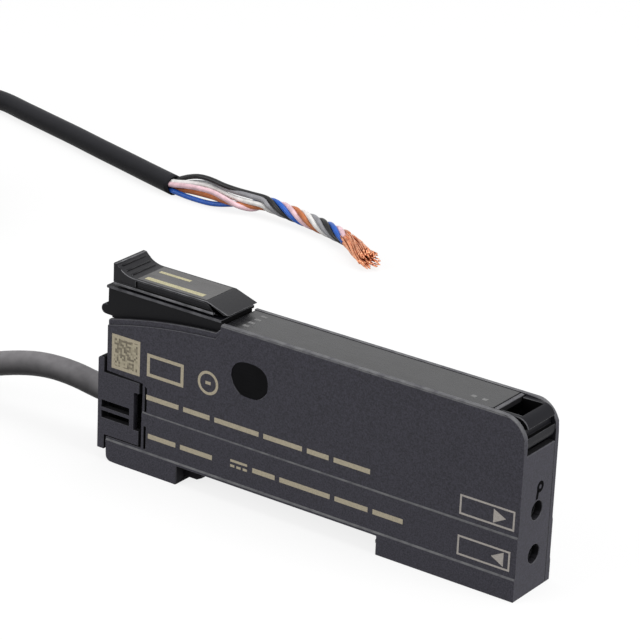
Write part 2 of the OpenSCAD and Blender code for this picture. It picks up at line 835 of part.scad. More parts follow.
module digit_display_green() {
    color("#1a4a24") digit_display(digit_mid_x + digit_gap / 2);
}

module top_board() {
    half = inner_w - fit_gap;
    color(board_colour) block([board_l, -half, board_z], [board_r, half, deck_base]);
}

module main_board() {
    color(board_colour) block([main_l, main_y, floor_z], [main_r, main_y + board_t, board_z]);
}

// Package soldered to the near face of the main board
module package(x, z, size) {
    low = [x - size[0] / 2, main_y - size[1], z - size[2] / 2];
    block(low, low + size);
}

module controller_chip() {
    color(chip_colour) package(main_mid_x, main_mid_z, [chip_side, chip_t, chip_side]);
}

module supply_regulator() {
    x = main_l + regulator_in;
    color(chip_colour) package(x, main_mid_z, regulator_size);
}

module output_transistors() {
    color(chip_colour) for (side = [-1, 1]) {
        package(main_l + transistor_in, main_mid_z + side * transistor_pitch / 2, transistor_size);
    }
}

module smoothing_capacitor() {
    x = main_mid_x + chip_side / 2 + capacitor_gap + capacitor_r;
    color(steel_colour) bar_y(capacitor_r, -inner_w + capacitor_clear, main_y, x, main_mid_z);
}

module comm_optics() {
    z = min(comm_z, board_z - optics_size[2]);
    color(chip_colour) package(comm_at, z, optics_size);
}

// Communication window in the near wall
module comm_window() {
    bar_y(comm_r - comm_gap, -comm_face, -inner_w, comm_at, comm_z);
}

module comm_window_near() {
    color(black_colour) comm_window();
}

module comm_window_far() {
    color(black_colour) mirror([0, 1, 0]) comm_window();
}

module fibre_block() {
    color(chip_colour) difference() {
        block([block_l, -block_half_w, block_seat], [block_x, block_half_w, block_top]);
        for (z = port_z) {
            bar_x(port_r, port_floor_x, block_x + eps, 0, z);
            bar_x(optic_r + pocket_gap, block_l - eps, port_floor_x + eps, 0, z);
        }
        slot_half = [clamp_t / 2 + fit_gap, clamp_half_w + fit_gap];
        slot_low = [clamp_x - slot_half[0], -slot_half[1], clamp_pit_z];
        block(slot_low, [clamp_x + slot_half[0], slot_half[1], block_top + eps]);
    }
}

// Emitter or receiver at the inner end of a port
module optic(z) {
    bar_x(optic_r, block_l + pocket_wall - fit_gap, port_floor_x - fit_gap, 0, z);
}

module emitter_led() {
    color("#c8c0b0") optic(port_z[0]);
}

module receiver_photodiode() {
    color("#383c4c") optic(port_z[1]);
}

module fibre_clamp() {
    color(steel_colour) difference() {
        low = [clamp_x - clamp_t / 2, -clamp_half_w, clamp_base];
        block(low, [clamp_x + clamp_t / 2, clamp_half_w, clamp_top]);
        for (z = port_z) {
            eye_low = [clamp_x - clamp_t, -port_r - fit_gap, z - port_r - clamp_lift - fit_gap];
            block(eye_low, [clamp_x + clamp_t, port_r + fit_gap, z + port_r + clamp_clear]);
        }
    }
}

// Coil spring along Z as one closed tube
function spring_route(r, len, turns) = [
    for (i = [0:turns * spring_turn_steps])
    let (a = 360 * i / spring_turn_steps, f = i / (turns * spring_turn_steps))
    [r * cos(a), r * sin(a), spring_wire_r + f * (len - 2 * spring_wire_r)]
];

module clamp_spring() {
    len = clamp_base - clamp_pit_z;
    color(steel_colour) translate([clamp_x, 0, clamp_pit_z]) {
        route = spring_route(clamp_t / 2 - spring_wire_r - fit_gap, len, clamp_spring_turns);
        tube(route, spring_wire_r, spring_sides);
    }
}

// Side outline of the lever
module lever_area() {
    corner = [lever_front - lever_corner_r, lever_top - lever_corner_r];
    area([lever_l, lever_top - arm_t], [corner[0], lever_top]);
    area([corner[0], pivot_z], [lever_front, corner[1]]);
    area([corner[0] - eps, lever_top - arm_t], [corner[0] + eps, lever_top]);
    translate(corner) circle(lever_corner_r);
    translate([pivot_x, pivot_z]) circle(heel_r);
}

module fibre_lock_lever() {
    arm_in = lever_half_w - arm_w;
    color(black_colour) {
        difference() {
            slab(-lever_half_w, lever_half_w) lever_area();
            pocket_low = [lever_l - eps, -arm_in, pivot_z + heel_r / 2];
            block(pocket_low, [lever_front - lever_bar, arm_in, lever_top + eps]);
            groove_low = [lever_front - groove_deep, -half_w, groove_z];
            block(groove_low, [lever_front + eps, half_w, groove_z + groove_h]);
        }
        reach = lever_half_w + trunnion_reach;
        bar_y(trunnion_r, -reach, reach, pivot_x, pivot_z);
        cam_low = [clamp_x - clamp_t / 2, -cam_half_w, clamp_top + fit_gap];
        block(cam_low, [pivot_x, cam_half_w, clamp_top + fit_gap + cam_t]);
    }
}

module rail_hook() {
    tip_x = catch_x + hook_reach;
    tip_low = hook_base_z + (lip_z - hook_base_z) / 2;
    color(black_colour) slab(-hook_half_w, hook_half_w) polygon([
        [hook_l, hook_base_z], [catch_x, hook_base_z], [tip_x, tip_low], [tip_x, lip_z],
        [catch_x, lip_z], [catch_x, hook_top_z], [hook_l, hook_top_z]
    ]);
}

module hook_spring() {
    coil_r = hook_t / 2 - spring_wire_r - fit_gap;
    mid_z = (hook_base_z + hook_top_z) / 2;
    color(steel_colour) translate([tunnel_l, 0, mid_z]) rotate([0, 90, 0]) {
        tube(spring_route(coil_r, spring_len, hook_spring_turns), spring_wire_r, spring_sides);
    }
}

module cable_lead() {
    color(jacket_colour) tube(lead_points, cable_d / 2, cable_sides);
}

module cable_coil() {
    color(jacket_colour) translate([coil_at[0], coil_at[1], 0]) rotate_extrude() {
        translate([coil_in, 0]) square([coil_out - coil_in, coil_h]);
    }
}

module coil_tie() {
    wide = coil_out - coil_in;
    color(black_colour) translate([coil_at[0], coil_at[1], 0]) rotate(tie_angle) {
        difference() {
            block([coil_in - tie_t, -tie_w / 2, 0], [coil_out + tie_t, tie_w / 2, coil_h + tie_t]);
            rotate_extrude() translate([coil_in, -eps]) square([wide, coil_h + eps]);
        }
    }
}

module cable_tail() {
    color(jacket_colour) tube(tail_points, cable_d / 2, cable_sides);
}

// Turn of the bundle and spread of the cores at one station of the core axis
function core_turn(i) = i < loose_stations
    ? loose_turn * i
    : loose_turn * loose_stations + tight_turn * (i - loose_stations);
function spread_at(i) = i > loose_stations ? 0 : core_spread * sin(180 * i / (loose_stations + 1));

// Route of one core round the axis
function core_route(c) = [
    for (i = [0:len(core_axis) - 1])
    let (t = heading(core_axis, i), a = core_turn(i) + 360 * c / core_count)
    core_axis[i] + (twist_r + spread_at(i)) * cos(a) * left_of(t) + twist_r * sin(a) * above(t)
];

module core(c, colour) {
    color(colour) tube(core_route(c), core_d / 2, core_sides);
}

module core_brown() {
    core(0, "#8a4b28");
}

module core_blue() {
    core(1, "#2864be");
}

module core_black() {
    core(2, "#1c1c1e");
}

module core_white() {
    core(3, "#e6e4e0");
}

module core_grey() {
    core(4, "#8c8c90");
}

module core_pink() {
    core(5, "#ecd8dc");
}

// Bare strands beyond the cores
module copper_ends() {
    last = len(core_axis) - 1;
    run = strand_end - core_axis[last];
    color(copper_colour) for (c = [0:core_count - 1]) {
        route = core_route(c);
        tube([route[last], route[last] + run], strand_d / 2, core_sides);
    }
}

case_shell();
side_cover();
end_cap();
cable_bush();
key_deck();
key_lid();
lid_hinge_pin();
mode_key();
up_key();
down_key();
set_key();
key_switches();
display_window();
digit_display_red();
digit_display_green();
top_board();
main_board();
controller_chip();
supply_regulator();
output_transistors();
smoothing_capacitor();
comm_optics();
comm_window_near();
comm_window_far();
fibre_block();
emitter_led();
receiver_photodiode();
fibre_clamp();
clamp_spring();
fibre_lock_lever();
rail_hook();
hook_spring();
cable_lead();
cable_coil();
coil_tie();
cable_tail();
core_brown();
core_blue();
core_black();
core_white();
core_grey();
core_pink();
copper_ends();
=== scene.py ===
"""Fibre optic sensor amplifier on its studio floor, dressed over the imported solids."""
import logging
import math
import random
from dataclasses import dataclass, field
from enum import Enum
from itertools import combinations
from typing import Iterable, Sequence, Union

import bmesh
import bpy
from bmesh.types import BMEdge, BMesh, BMFace, BMLoop, BMVert
from bpy.types import ID, Material, NodeSocket as Socket, Object
from mathutils import Matrix, Vector
from mathutils.bvhtree import BVHTree


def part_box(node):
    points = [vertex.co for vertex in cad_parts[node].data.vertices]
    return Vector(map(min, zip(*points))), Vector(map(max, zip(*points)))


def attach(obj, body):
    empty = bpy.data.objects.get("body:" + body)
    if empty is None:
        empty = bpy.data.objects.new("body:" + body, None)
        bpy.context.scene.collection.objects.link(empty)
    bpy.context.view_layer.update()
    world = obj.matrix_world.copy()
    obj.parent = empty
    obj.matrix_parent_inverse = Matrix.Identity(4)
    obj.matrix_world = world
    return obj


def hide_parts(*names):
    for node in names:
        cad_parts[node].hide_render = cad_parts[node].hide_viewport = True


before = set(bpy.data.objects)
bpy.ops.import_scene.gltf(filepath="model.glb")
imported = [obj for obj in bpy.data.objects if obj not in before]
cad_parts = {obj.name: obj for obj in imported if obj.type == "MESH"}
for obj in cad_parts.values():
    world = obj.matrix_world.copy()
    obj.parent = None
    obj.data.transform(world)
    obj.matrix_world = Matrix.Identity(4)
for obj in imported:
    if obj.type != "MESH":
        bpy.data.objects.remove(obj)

LOG = logging.getLogger("amplifier")
MM = 0.001
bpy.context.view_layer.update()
FULL_TURN = 2 * math.pi
GOLDEN_ANGLE = 2.39996
WHITE = (1.0, 1.0, 1.0, 1.0)
NOISE_BAND = (0.3, 0.7)
UP = Vector((0, 0, 1))
Point = tuple[float, float, float]
Spot = tuple[float, float]
Box = tuple[float, float, float, float]
Row = tuple[float, float, tuple[float, ...]]
Colour = tuple[int, int, int]
Light = tuple[float, float, float, float]


def linear(colour: Colour, gain: float = 1.0) -> Light:
    """Turns a display colour into scene-linear light.

    Args:
        colour: Red, green and blue from 0 to 255.
        gain: Factor on the linear values.

    Returns:
        The linear colour with full alpha.
    """
    def one(v: int) -> float:
        """Decodes one channel."""
        s = v / 255
        s = s / 12.92 if s <= 0.04045 else ((s + 0.055) / 1.055) ** 2.4
        return min(1.0, s * gain)
    return one(colour[0]), one(colour[1]), one(colour[2]), 1.0


class Axis(Enum):
    """Main direction that a flat mark faces."""

    NEAR = "near"
    FAR = "far"
    END = "end"
    TOP = "top"


class KeySign(Enum):
    """Sign on the top of a key, by the key's name."""

    BAR = "mode_key"
    UP_ARROW = "up_key"
    DOWN_ARROW = "down_key"
    DOT = "set_key"


class NodeGraph:
    """Node tree of one material or world, built up socket by socket."""

    def __init__(self, owner: ID) -> None:
        """Starts an empty tree.

        Args:
            owner: Material or world that holds the tree.
        """
        owner.use_nodes = True
        self.owner = owner
        self.tree = owner.node_tree
        self.tree.nodes.clear()

    def node(self, kind: str, out: Union[int, str], inputs: dict, **settings: object) -> Socket:
        """Adds a node and fills its inputs.

        Args:
            kind: Blender's name of the node type.
            out: Output that is wanted.
            inputs: Value or socket for each input.
            settings: Properties of the node.

        Returns:
            The wanted output.
        """
        made = self.tree.nodes.new(kind)
        for key, value in settings.items():
            setattr(made, key, value)
        for key, value in inputs.items():
            if isinstance(value, Socket):
                self.tree.links.new(value, made.inputs[key])
            else:
                made.inputs[key].default_value = value
        return made.outputs[out]

    def close(self, shader: Socket, kind: str = "ShaderNodeOutputMaterial") -> None:
        """Joins a shader to the tree's output."""
        self.tree.links.new(shader, self.tree.nodes.new(kind).inputs["Surface"])

    def place(self) -> Socket:
        """Reads the object's own coordinates."""
        return self.node("ShaderNodeTexCoord", "Object", {})

    def stored(self, name: str) -> Socket:
        """Reads an attribute that is stored on the mesh."""
        return self.node("ShaderNodeAttribute", "Fac", {}, attribute_name=name)

    def noise(self, size_mm: float, detail: float = 2.0, stretch: Point = (1, 1, 1)) -> Socket:
        """Adds a noise around one half, with lumps of a size and octaves of detail."""
        place = self.node("ShaderNodeMapping", "Vector", {"Vector": self.place(), "Scale": stretch})
        return self.node("ShaderNodeTexNoise", "Fac",
                         {"Vector": place, "Scale": 1 / (size_mm * MM), "Detail": detail})

    def band(self, source: Socket, low: float, high: float, to_low: float = 0.0,
             to_high: float = 1.0) -> Socket:
        """Maps a value from one band to another."""
        return self.node("ShaderNodeMapRange", "Result", {
            "Value": source, "From Min": low, "From Max": high, "To Min": to_low, "To Max": to_high})

    def spread(self, noise: Socket, low: float = 0.0, high: float = 1.0) -> Socket:
        """Maps the usual band of a noise to another band."""
        return self.band(noise, *NOISE_BAND, low, high)

    def mix(self, factor: Socket, first: object, second: object) -> Socket:
        """Mixes two colours or colour sockets by the share of the second."""
        return self.node("ShaderNodeMix", 2, {"Factor": factor, 6: first, 7: second}, data_type="RGBA")

    def calc(self, operation: str, first: Socket, second: Socket) -> Socket:
        """Joins two values by one operation."""
        return self.node("ShaderNodeMath", 0, {0: first, 1: second}, operation=operation)

    def bump(self, height: Socket, depth_mm: float, strength: float = 1.0) -> Socket:
        """Turns a height field into a bent normal."""
        return self.node("ShaderNodeBump", "Normal",
                         {"Height": height, "Distance": depth_mm * MM, "Strength": strength})

    def seen(self) -> Socket:
        """Adds up the rays that see the plain background.

        Returns:
            One for camera, glossy and transmitted rays.
        """
        camera = self.node("ShaderNodeLightPath", "Is Camera Ray", {})
        path = camera.node.outputs
        mirrored = self.calc("MAXIMUM", camera, path["Is Glossy Ray"])
        return self.calc("MAXIMUM", mirrored, path["Is Transmission Ray"])

    def surface(self, colour: Socket, roughness: Union[Socket, float], normal: Socket,
                specular: float = 0.5, metallic: float = 0.0) -> Material:
        """Closes the tree with one surface shader.

        Args:
            colour: Base colour.
            roughness: Roughness, or the socket that gives it.
            normal: Bent normal.
            specular: Specular level.
            metallic: One for a metal.

        Returns:
            The finished material.
        """
        self.close(self.node("ShaderNodeBsdfPrincipled", "BSDF", {
            "Base Color": colour, "Roughness": roughness, "Normal": normal,
            "Specular IOR Level": specular, "Metallic": metallic}))
        return self.owner


@dataclass(frozen=True)
class Finish:
    """Named look of a surface."""

    name: str
    colour: Colour

    def graph(self) -> NodeGraph:
        """Starts the finish's material."""
        return NodeGraph(bpy.data.materials.new(self.name))

    def material(self) -> Material:
        """Builds the finish's material, each kind in its own way."""
        raise NotImplementedError

    def shade(self, gain: float = 1.0) -> Light:
        """Gives the finish's colour as light, times a gain."""
        return linear(self.colour, gain)


@dataclass(frozen=True)
class MouldedPlastic(Finish):
    """Spark-textured or satin moulded plastic with paler edges, partly worn and partly painted highlight, and
    painted shade in its closed-in faces.
    """

    roughness: float = 0.55
    specular: float = 0.22
    grain_mm: float = 0.24
    grain_depth_mm: float = 0.012
    speckle: float = 0.5
    mottle: float = 0.03
    edge_gain: float = 3.7
    shade_gain: float = 0.1
    cloud_mm: float = 9.0
    scuff_mm: float = 1.6

    def material(self) -> Material:
        """Builds the plastic's material.

        Returns:
            The material.
        """
        g = self.graph()
        grain = g.noise(self.grain_mm, 3.0)
        speck = g.spread(grain, -self.speckle, self.speckle)
        drift = g.spread(g.noise(self.cloud_mm), -self.mottle, self.mottle)
        body = g.mix(g.band(g.calc("ADD", speck, drift), -0.5, 0.5), self.shade(0.5), self.shade(1.5))
        # Edges are lightened by the stored edge amount, in patches: partly wear, partly a painted highlight.
        patchy = g.band(g.noise(self.scuff_mm, 3.0), 0.3, 0.62, 0.35, 1.0)
        grey = round(sum(self.colour) / 3)
        edged = g.mix(g.calc("MULTIPLY", g.stored("edge_wear_and_highlight"), patchy), body,
                      linear((grey, grey, grey + 1), self.edge_gain))
        # Closed-in faces are darkened and made rougher: painted shade.
        shade_share = g.stored("recess")
        rough = g.calc("MAXIMUM", g.spread(grain, self.roughness - 0.06, self.roughness + 0.08), shade_share)
        return g.surface(g.mix(shade_share, edged, self.shade(self.shade_gain)), rough,
                         g.bump(grain, self.grain_depth_mm), self.specular)


@dataclass(frozen=True)
class SmokedPanel(Finish):
    """Smooth dark window plastic that mirrors its surroundings softly."""

    roughness: float = 0.24
    specular: float = 0.5
    streak: Point = (0.12, 1.0, 1.0)

    def material(self) -> Material:
        """Builds the panel's material.

        Returns:
            The material.
        """
        g = self.graph()
        haze = g.noise(3.5, 4.0)
        body = g.mix(g.spread(haze), self.shade(0.8), self.shade(1.25))
        # Edges are lightened: painted highlight.
        colour = g.mix(g.stored("edge_wear_and_highlight"), body, self.shade(2.2))
        rough = g.spread(g.noise(0.35, 2.0, self.streak), self.roughness - 0.05, self.roughness + 0.07)
        return g.surface(colour, rough, g.bump(haze, 0.004, 0.5), self.specular)


@dataclass(frozen=True)
class PrintInk(Finish):
    """Matt ink that lets a little of the grain under it through."""

    worn_share: float = 0.3
    specular: float = 0.15
    roughness: float = 0.7

    def material(self) -> Material:
        """Builds the ink's material.

        Returns:
            The material.
        """
        g = self.graph()
        grain = g.noise(0.2, 3.0)
        colour = g.mix(g.band(grain, 0.42, 0.66, 0.0, self.worn_share), self.shade(), self.shade(0.45))
        return g.surface(colour, self.roughness, g.bump(grain, 0.008), self.specular)


@dataclass(frozen=True)
class CellField(Finish):
    """Square field of pale and dark cells drawn from a noise, with no meaning."""

    dark: Colour
    cell_mm: float
    specular: float = 0.15
    roughness: float = 0.7

    def material(self) -> Material:
        """Builds the field's material.

        Returns:
            The material.
        """
        g = self.graph()
        cell = (self.cell_mm * MM, 1.0, self.cell_mm * MM)
        corner = g.node("ShaderNodeVectorMath", 0, {0: g.place(), 1: cell}, operation="SNAP")
        chance = g.node("ShaderNodeTexWhiteNoise", "Value", {"Vector": corner}, noise_dimensions="3D")
        blur = g.noise(0.5, 3.0)
        cells = g.mix(g.band(chance, 0.35, 0.75), self.shade(), linear(self.dark))
        colour = g.mix(g.spread(blur, 0.0, 0.4), cells, self.shade(0.7))
        return g.surface(colour, self.roughness, g.bump(blur, 0.006), self.specular)


@dataclass(frozen=True)
class CordJacket(Finish):
    """Soft cable jacket, paler at its device end than at its stripped end as painted light, and darker on its
    underside as painted shade.
    """

    far_end: Colour
    change: Spot = (0.12, 0.3)
    roughness: float = 0.42
    specular: float = 0.04

    def material(self) -> Material:
        """Builds the jacket's material, with its colour by the way along the cord.

        Returns:
            The material.
        """
        g = self.graph()
        grain = g.noise(0.3, 3.0)
        # Paler towards the device end: painted light for the brighter light on the lead.
        base = g.mix(g.band(g.stored("cord_way"), *self.change), self.shade(), linear(self.far_end))
        dirt = g.band(g.noise(2.5, 4.0), 0.35, 0.75, 0.0, 0.35)
        soiled = g.mix(dirt, base, linear(self.far_end, 0.8))
        # Darker where the jacket looks down: painted shade.
        low = g.band(g.stored("underside"), 0.12, 0.7, 0.0, 0.8)
        rough = g.spread(grain, self.roughness - 0.08, self.roughness + 0.1)
        return g.surface(g.mix(low, soiled, linear(self.far_end, 0.15)), rough, g.bump(grain, 0.02),
                         self.specular)


@dataclass(frozen=True)
class WireSkin(Finish):
    """Glossy insulation of one core."""

    specular: float = 0.3

    def material(self) -> Material:
        """Builds the insulation's material.

        Returns:
            The material.
        """
        g = self.graph()
        cloud = g.noise(1.4, 3.0)
        colour = g.mix(g.spread(cloud), self.shade(0.82), self.shade(1.15))
        return g.surface(colour, g.spread(g.noise(0.3), 0.28, 0.42), g.bump(cloud, 0.01), self.specular)


@dataclass(frozen=True)
class BareMetal(Finish):
    """Drawn or stamped metal with fine lines and tarnish."""

    tarnish: Colour
    roughness: float = 0.3
    drawn: Point = (0.2, 1.0, 1.0)

    def material(self) -> Material:
        """Builds the metal's material.

        Returns:
            The material.
        """
        g = self.graph()
        lines = g.noise(0.12, 3.0, self.drawn)
        stain = g.band(g.noise(0.9, 4.0), 0.4, 0.7, 0.0, 0.7)
        rough = g.spread(lines, self.roughness - 0.1, self.roughness + 0.14)
        return g.surface(g.mix(stain, self.shade(), linear(self.tarnish)), rough, g.bump(lines, 0.006),
                         metallic=1.0)


@dataclass(frozen=True)
class CircuitBoard(Finish):
    """Solder-masked board with tracks and tinned pads."""

    track: Colour
    pad: Colour
    track_scale: float = 260.0
    pad_scale: float = 420.0

    def material(self) -> Material:
        """Builds the board's material.

        Returns:
            The material.
        """
        g = self.graph()
        wave = g.node("ShaderNodeTexWave", "Fac",
                      {"Vector": g.place(), "Scale": self.track_scale, "Distortion": 3.0},
                      wave_type="BANDS", bands_direction="DIAGONAL")
        cells = g.node("ShaderNodeTexVoronoi", "Distance", {"Vector": g.place(), "Scale": self.pad_scale},
                       feature="F1")
        tracks = g.mix(g.band(wave, 0.6, 0.64), self.shade(), linear(self.track))
        colour = g.mix(g.band(cells, 0.16, 0.2, 1.0, 0.0), tracks, linear(self.pad))
        return g.surface(colour, g.spread(g.noise(0.6), 0.3, 0.45), g.bump(wave, 0.01))


FINISHES: tuple[Finish, ...] = (
    MouldedPlastic("case_plastic", (53, 52, 60)),
    # High edge gains on the lid, deck and lever paint bright highlights on their rounded edges.
    MouldedPlastic("lid_plastic", (27, 27, 30), roughness=0.42, specular=0.18, grain_mm=0.16,
                   grain_depth_mm=0.006, speckle=0.1, edge_gain=16.0),
    MouldedPlastic("deck_plastic", (17, 17, 21), roughness=0.5, specular=0.12, grain_mm=0.2,
                   grain_depth_mm=0.008, speckle=0.12, edge_gain=20.0),
    MouldedPlastic("key_plastic", (120, 121, 122), roughness=0.5, specular=0.35, grain_mm=0.18,
                   grain_depth_mm=0.006),
    SmokedPanel("panel_plastic", (34, 34, 36), roughness=0.26, specular=0.44),
    SmokedPanel("window_plastic", (12, 12, 14), roughness=0.3, specular=0.04),
    MouldedPlastic("lever_plastic", (24, 24, 28), roughness=0.4, specular=0.08, grain_mm=0.16,
                   grain_depth_mm=0.005, speckle=0.08, mottle=0.02, edge_gain=15.0),
    MouldedPlastic("block_plastic", (24, 24, 26)),
    SmokedPanel("red_display", (96, 26, 24), roughness=0.3),
    SmokedPanel("green_display", (30, 84, 42), roughness=0.3),
    CircuitBoard("board", (22, 74, 44), track=(36, 104, 62), pad=(196, 186, 150)),
    MouldedPlastic("chip", (34, 34, 36), roughness=0.5, specular=0.3, grain_mm=0.12, grain_depth_mm=0.004),
    SmokedPanel("emitter", (205, 196, 178), roughness=0.2),
    SmokedPanel("receiver", (50, 54, 72), roughness=0.18),
    BareMetal("can", (190, 190, 194), tarnish=(120, 120, 126)),
    BareMetal("steel", (186, 186, 190), tarnish=(120, 118, 116), roughness=0.28),
    MouldedPlastic("bush_rubber", (27, 27, 31), roughness=0.7, specular=0.15, grain_mm=0.25),
    CordJacket("jacket", (128, 126, 128), far_end=(44, 44, 47)),
    MouldedPlastic("tie", (27, 27, 31), roughness=0.4, specular=0.3, grain_mm=0.3, grain_depth_mm=0.01),
    WireSkin("brown", (184, 108, 62)),
    WireSkin("blue", (38, 92, 184)),
    WireSkin("black", (17, 17, 19)),
    WireSkin("white", (226, 224, 222)),
    WireSkin("grey", (138, 138, 142)),
    WireSkin("pink", (228, 192, 200)),
    BareMetal("copper", (238, 172, 134), tarnish=(138, 70, 42), roughness=0.36),
    PrintInk("face_ink", (188, 178, 156)),
    PrintInk("frame_ink", (182, 176, 170)),
    PrintInk("pale_ink", (120, 120, 120), worn_share=0.5),
    PrintInk("dark_ink", (4, 4, 5), worn_share=0.1, specular=0.02),
    PrintInk("label_ink", (186, 180, 148), worn_share=0.5),
    CellField("code_field", (186, 177, 154), dark=(112, 105, 92), cell_mm=0.34),
    SmokedPanel("label_film", (60, 59, 59), roughness=0.3))


def add_object(name: str, data: ID) -> Object:
    """Puts a new object into the scene.

    Args:
        name: Name of the object.
        data: Mesh, lamp or camera that it holds.

    Returns:
        The object.
    """
    obj = bpy.data.objects.new(name, data)
    bpy.context.scene.collection.objects.link(obj)
    return obj


def add_mesh(name: str, bm: BMesh) -> Object:
    """Puts a bmesh into the scene and frees it.

    Args:
        name: Name of the mesh and its object.
        bm: Finished mesh.

    Returns:
        The object.
    """
    mesh = bpy.data.meshes.new(name)
    bm.to_mesh(mesh)
    bm.free()
    return add_object(name, mesh)


@dataclass
class Workshop:
    """Makes, places and registers the pieces of the amplifier."""

    finishes: dict[str, Material] = field(
        default_factory=lambda: {finish.name: finish.material() for finish in FINISHES})
    made: list[Object] = field(default_factory=list)

    def piece(self, name: str, bm: BMesh, body: str, finish: str, slot: str,
              smooth: bool = False) -> Object:
        """Turns a bmesh into a piece that rides on a body.

        Args:
            name: Name of the piece.
            bm: Finished mesh in metres, in the part's frame.
            body: Body that carries the piece.
            finish: Name of the finish that it takes.
            slot: Slot of the record that the finish stands for; not used.
            smooth: Whether its faces are shaded smooth.

        Returns:
            The new object.
        """
        for face in bm.faces:
            face.smooth = smooth
        obj = add_mesh(name, bm)
        obj.data.materials.append(self.finishes[finish])
        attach(obj, body)
        self.made.append(obj)
        LOG.info("made %s, %d faces, on %s", name, len(obj.data.polygons), body)
        return obj

    def dress(self, node: str, slot: str) -> None:
        """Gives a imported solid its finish.

        Args:
            node: Name of the solid's node.
            slot: Slot whose finish it takes.
        """
        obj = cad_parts[node]
        obj.data.materials.clear()
        obj.data.materials.append(self.finishes[slot])
        LOG.info("dressed %s as %s", node, slot)


def verts_of(geometry: Iterable[object]) -> list[BMVert]:
    """Picks the vertices out of an operator's result."""
    return [g for g in geometry if isinstance(g, BMVert)]


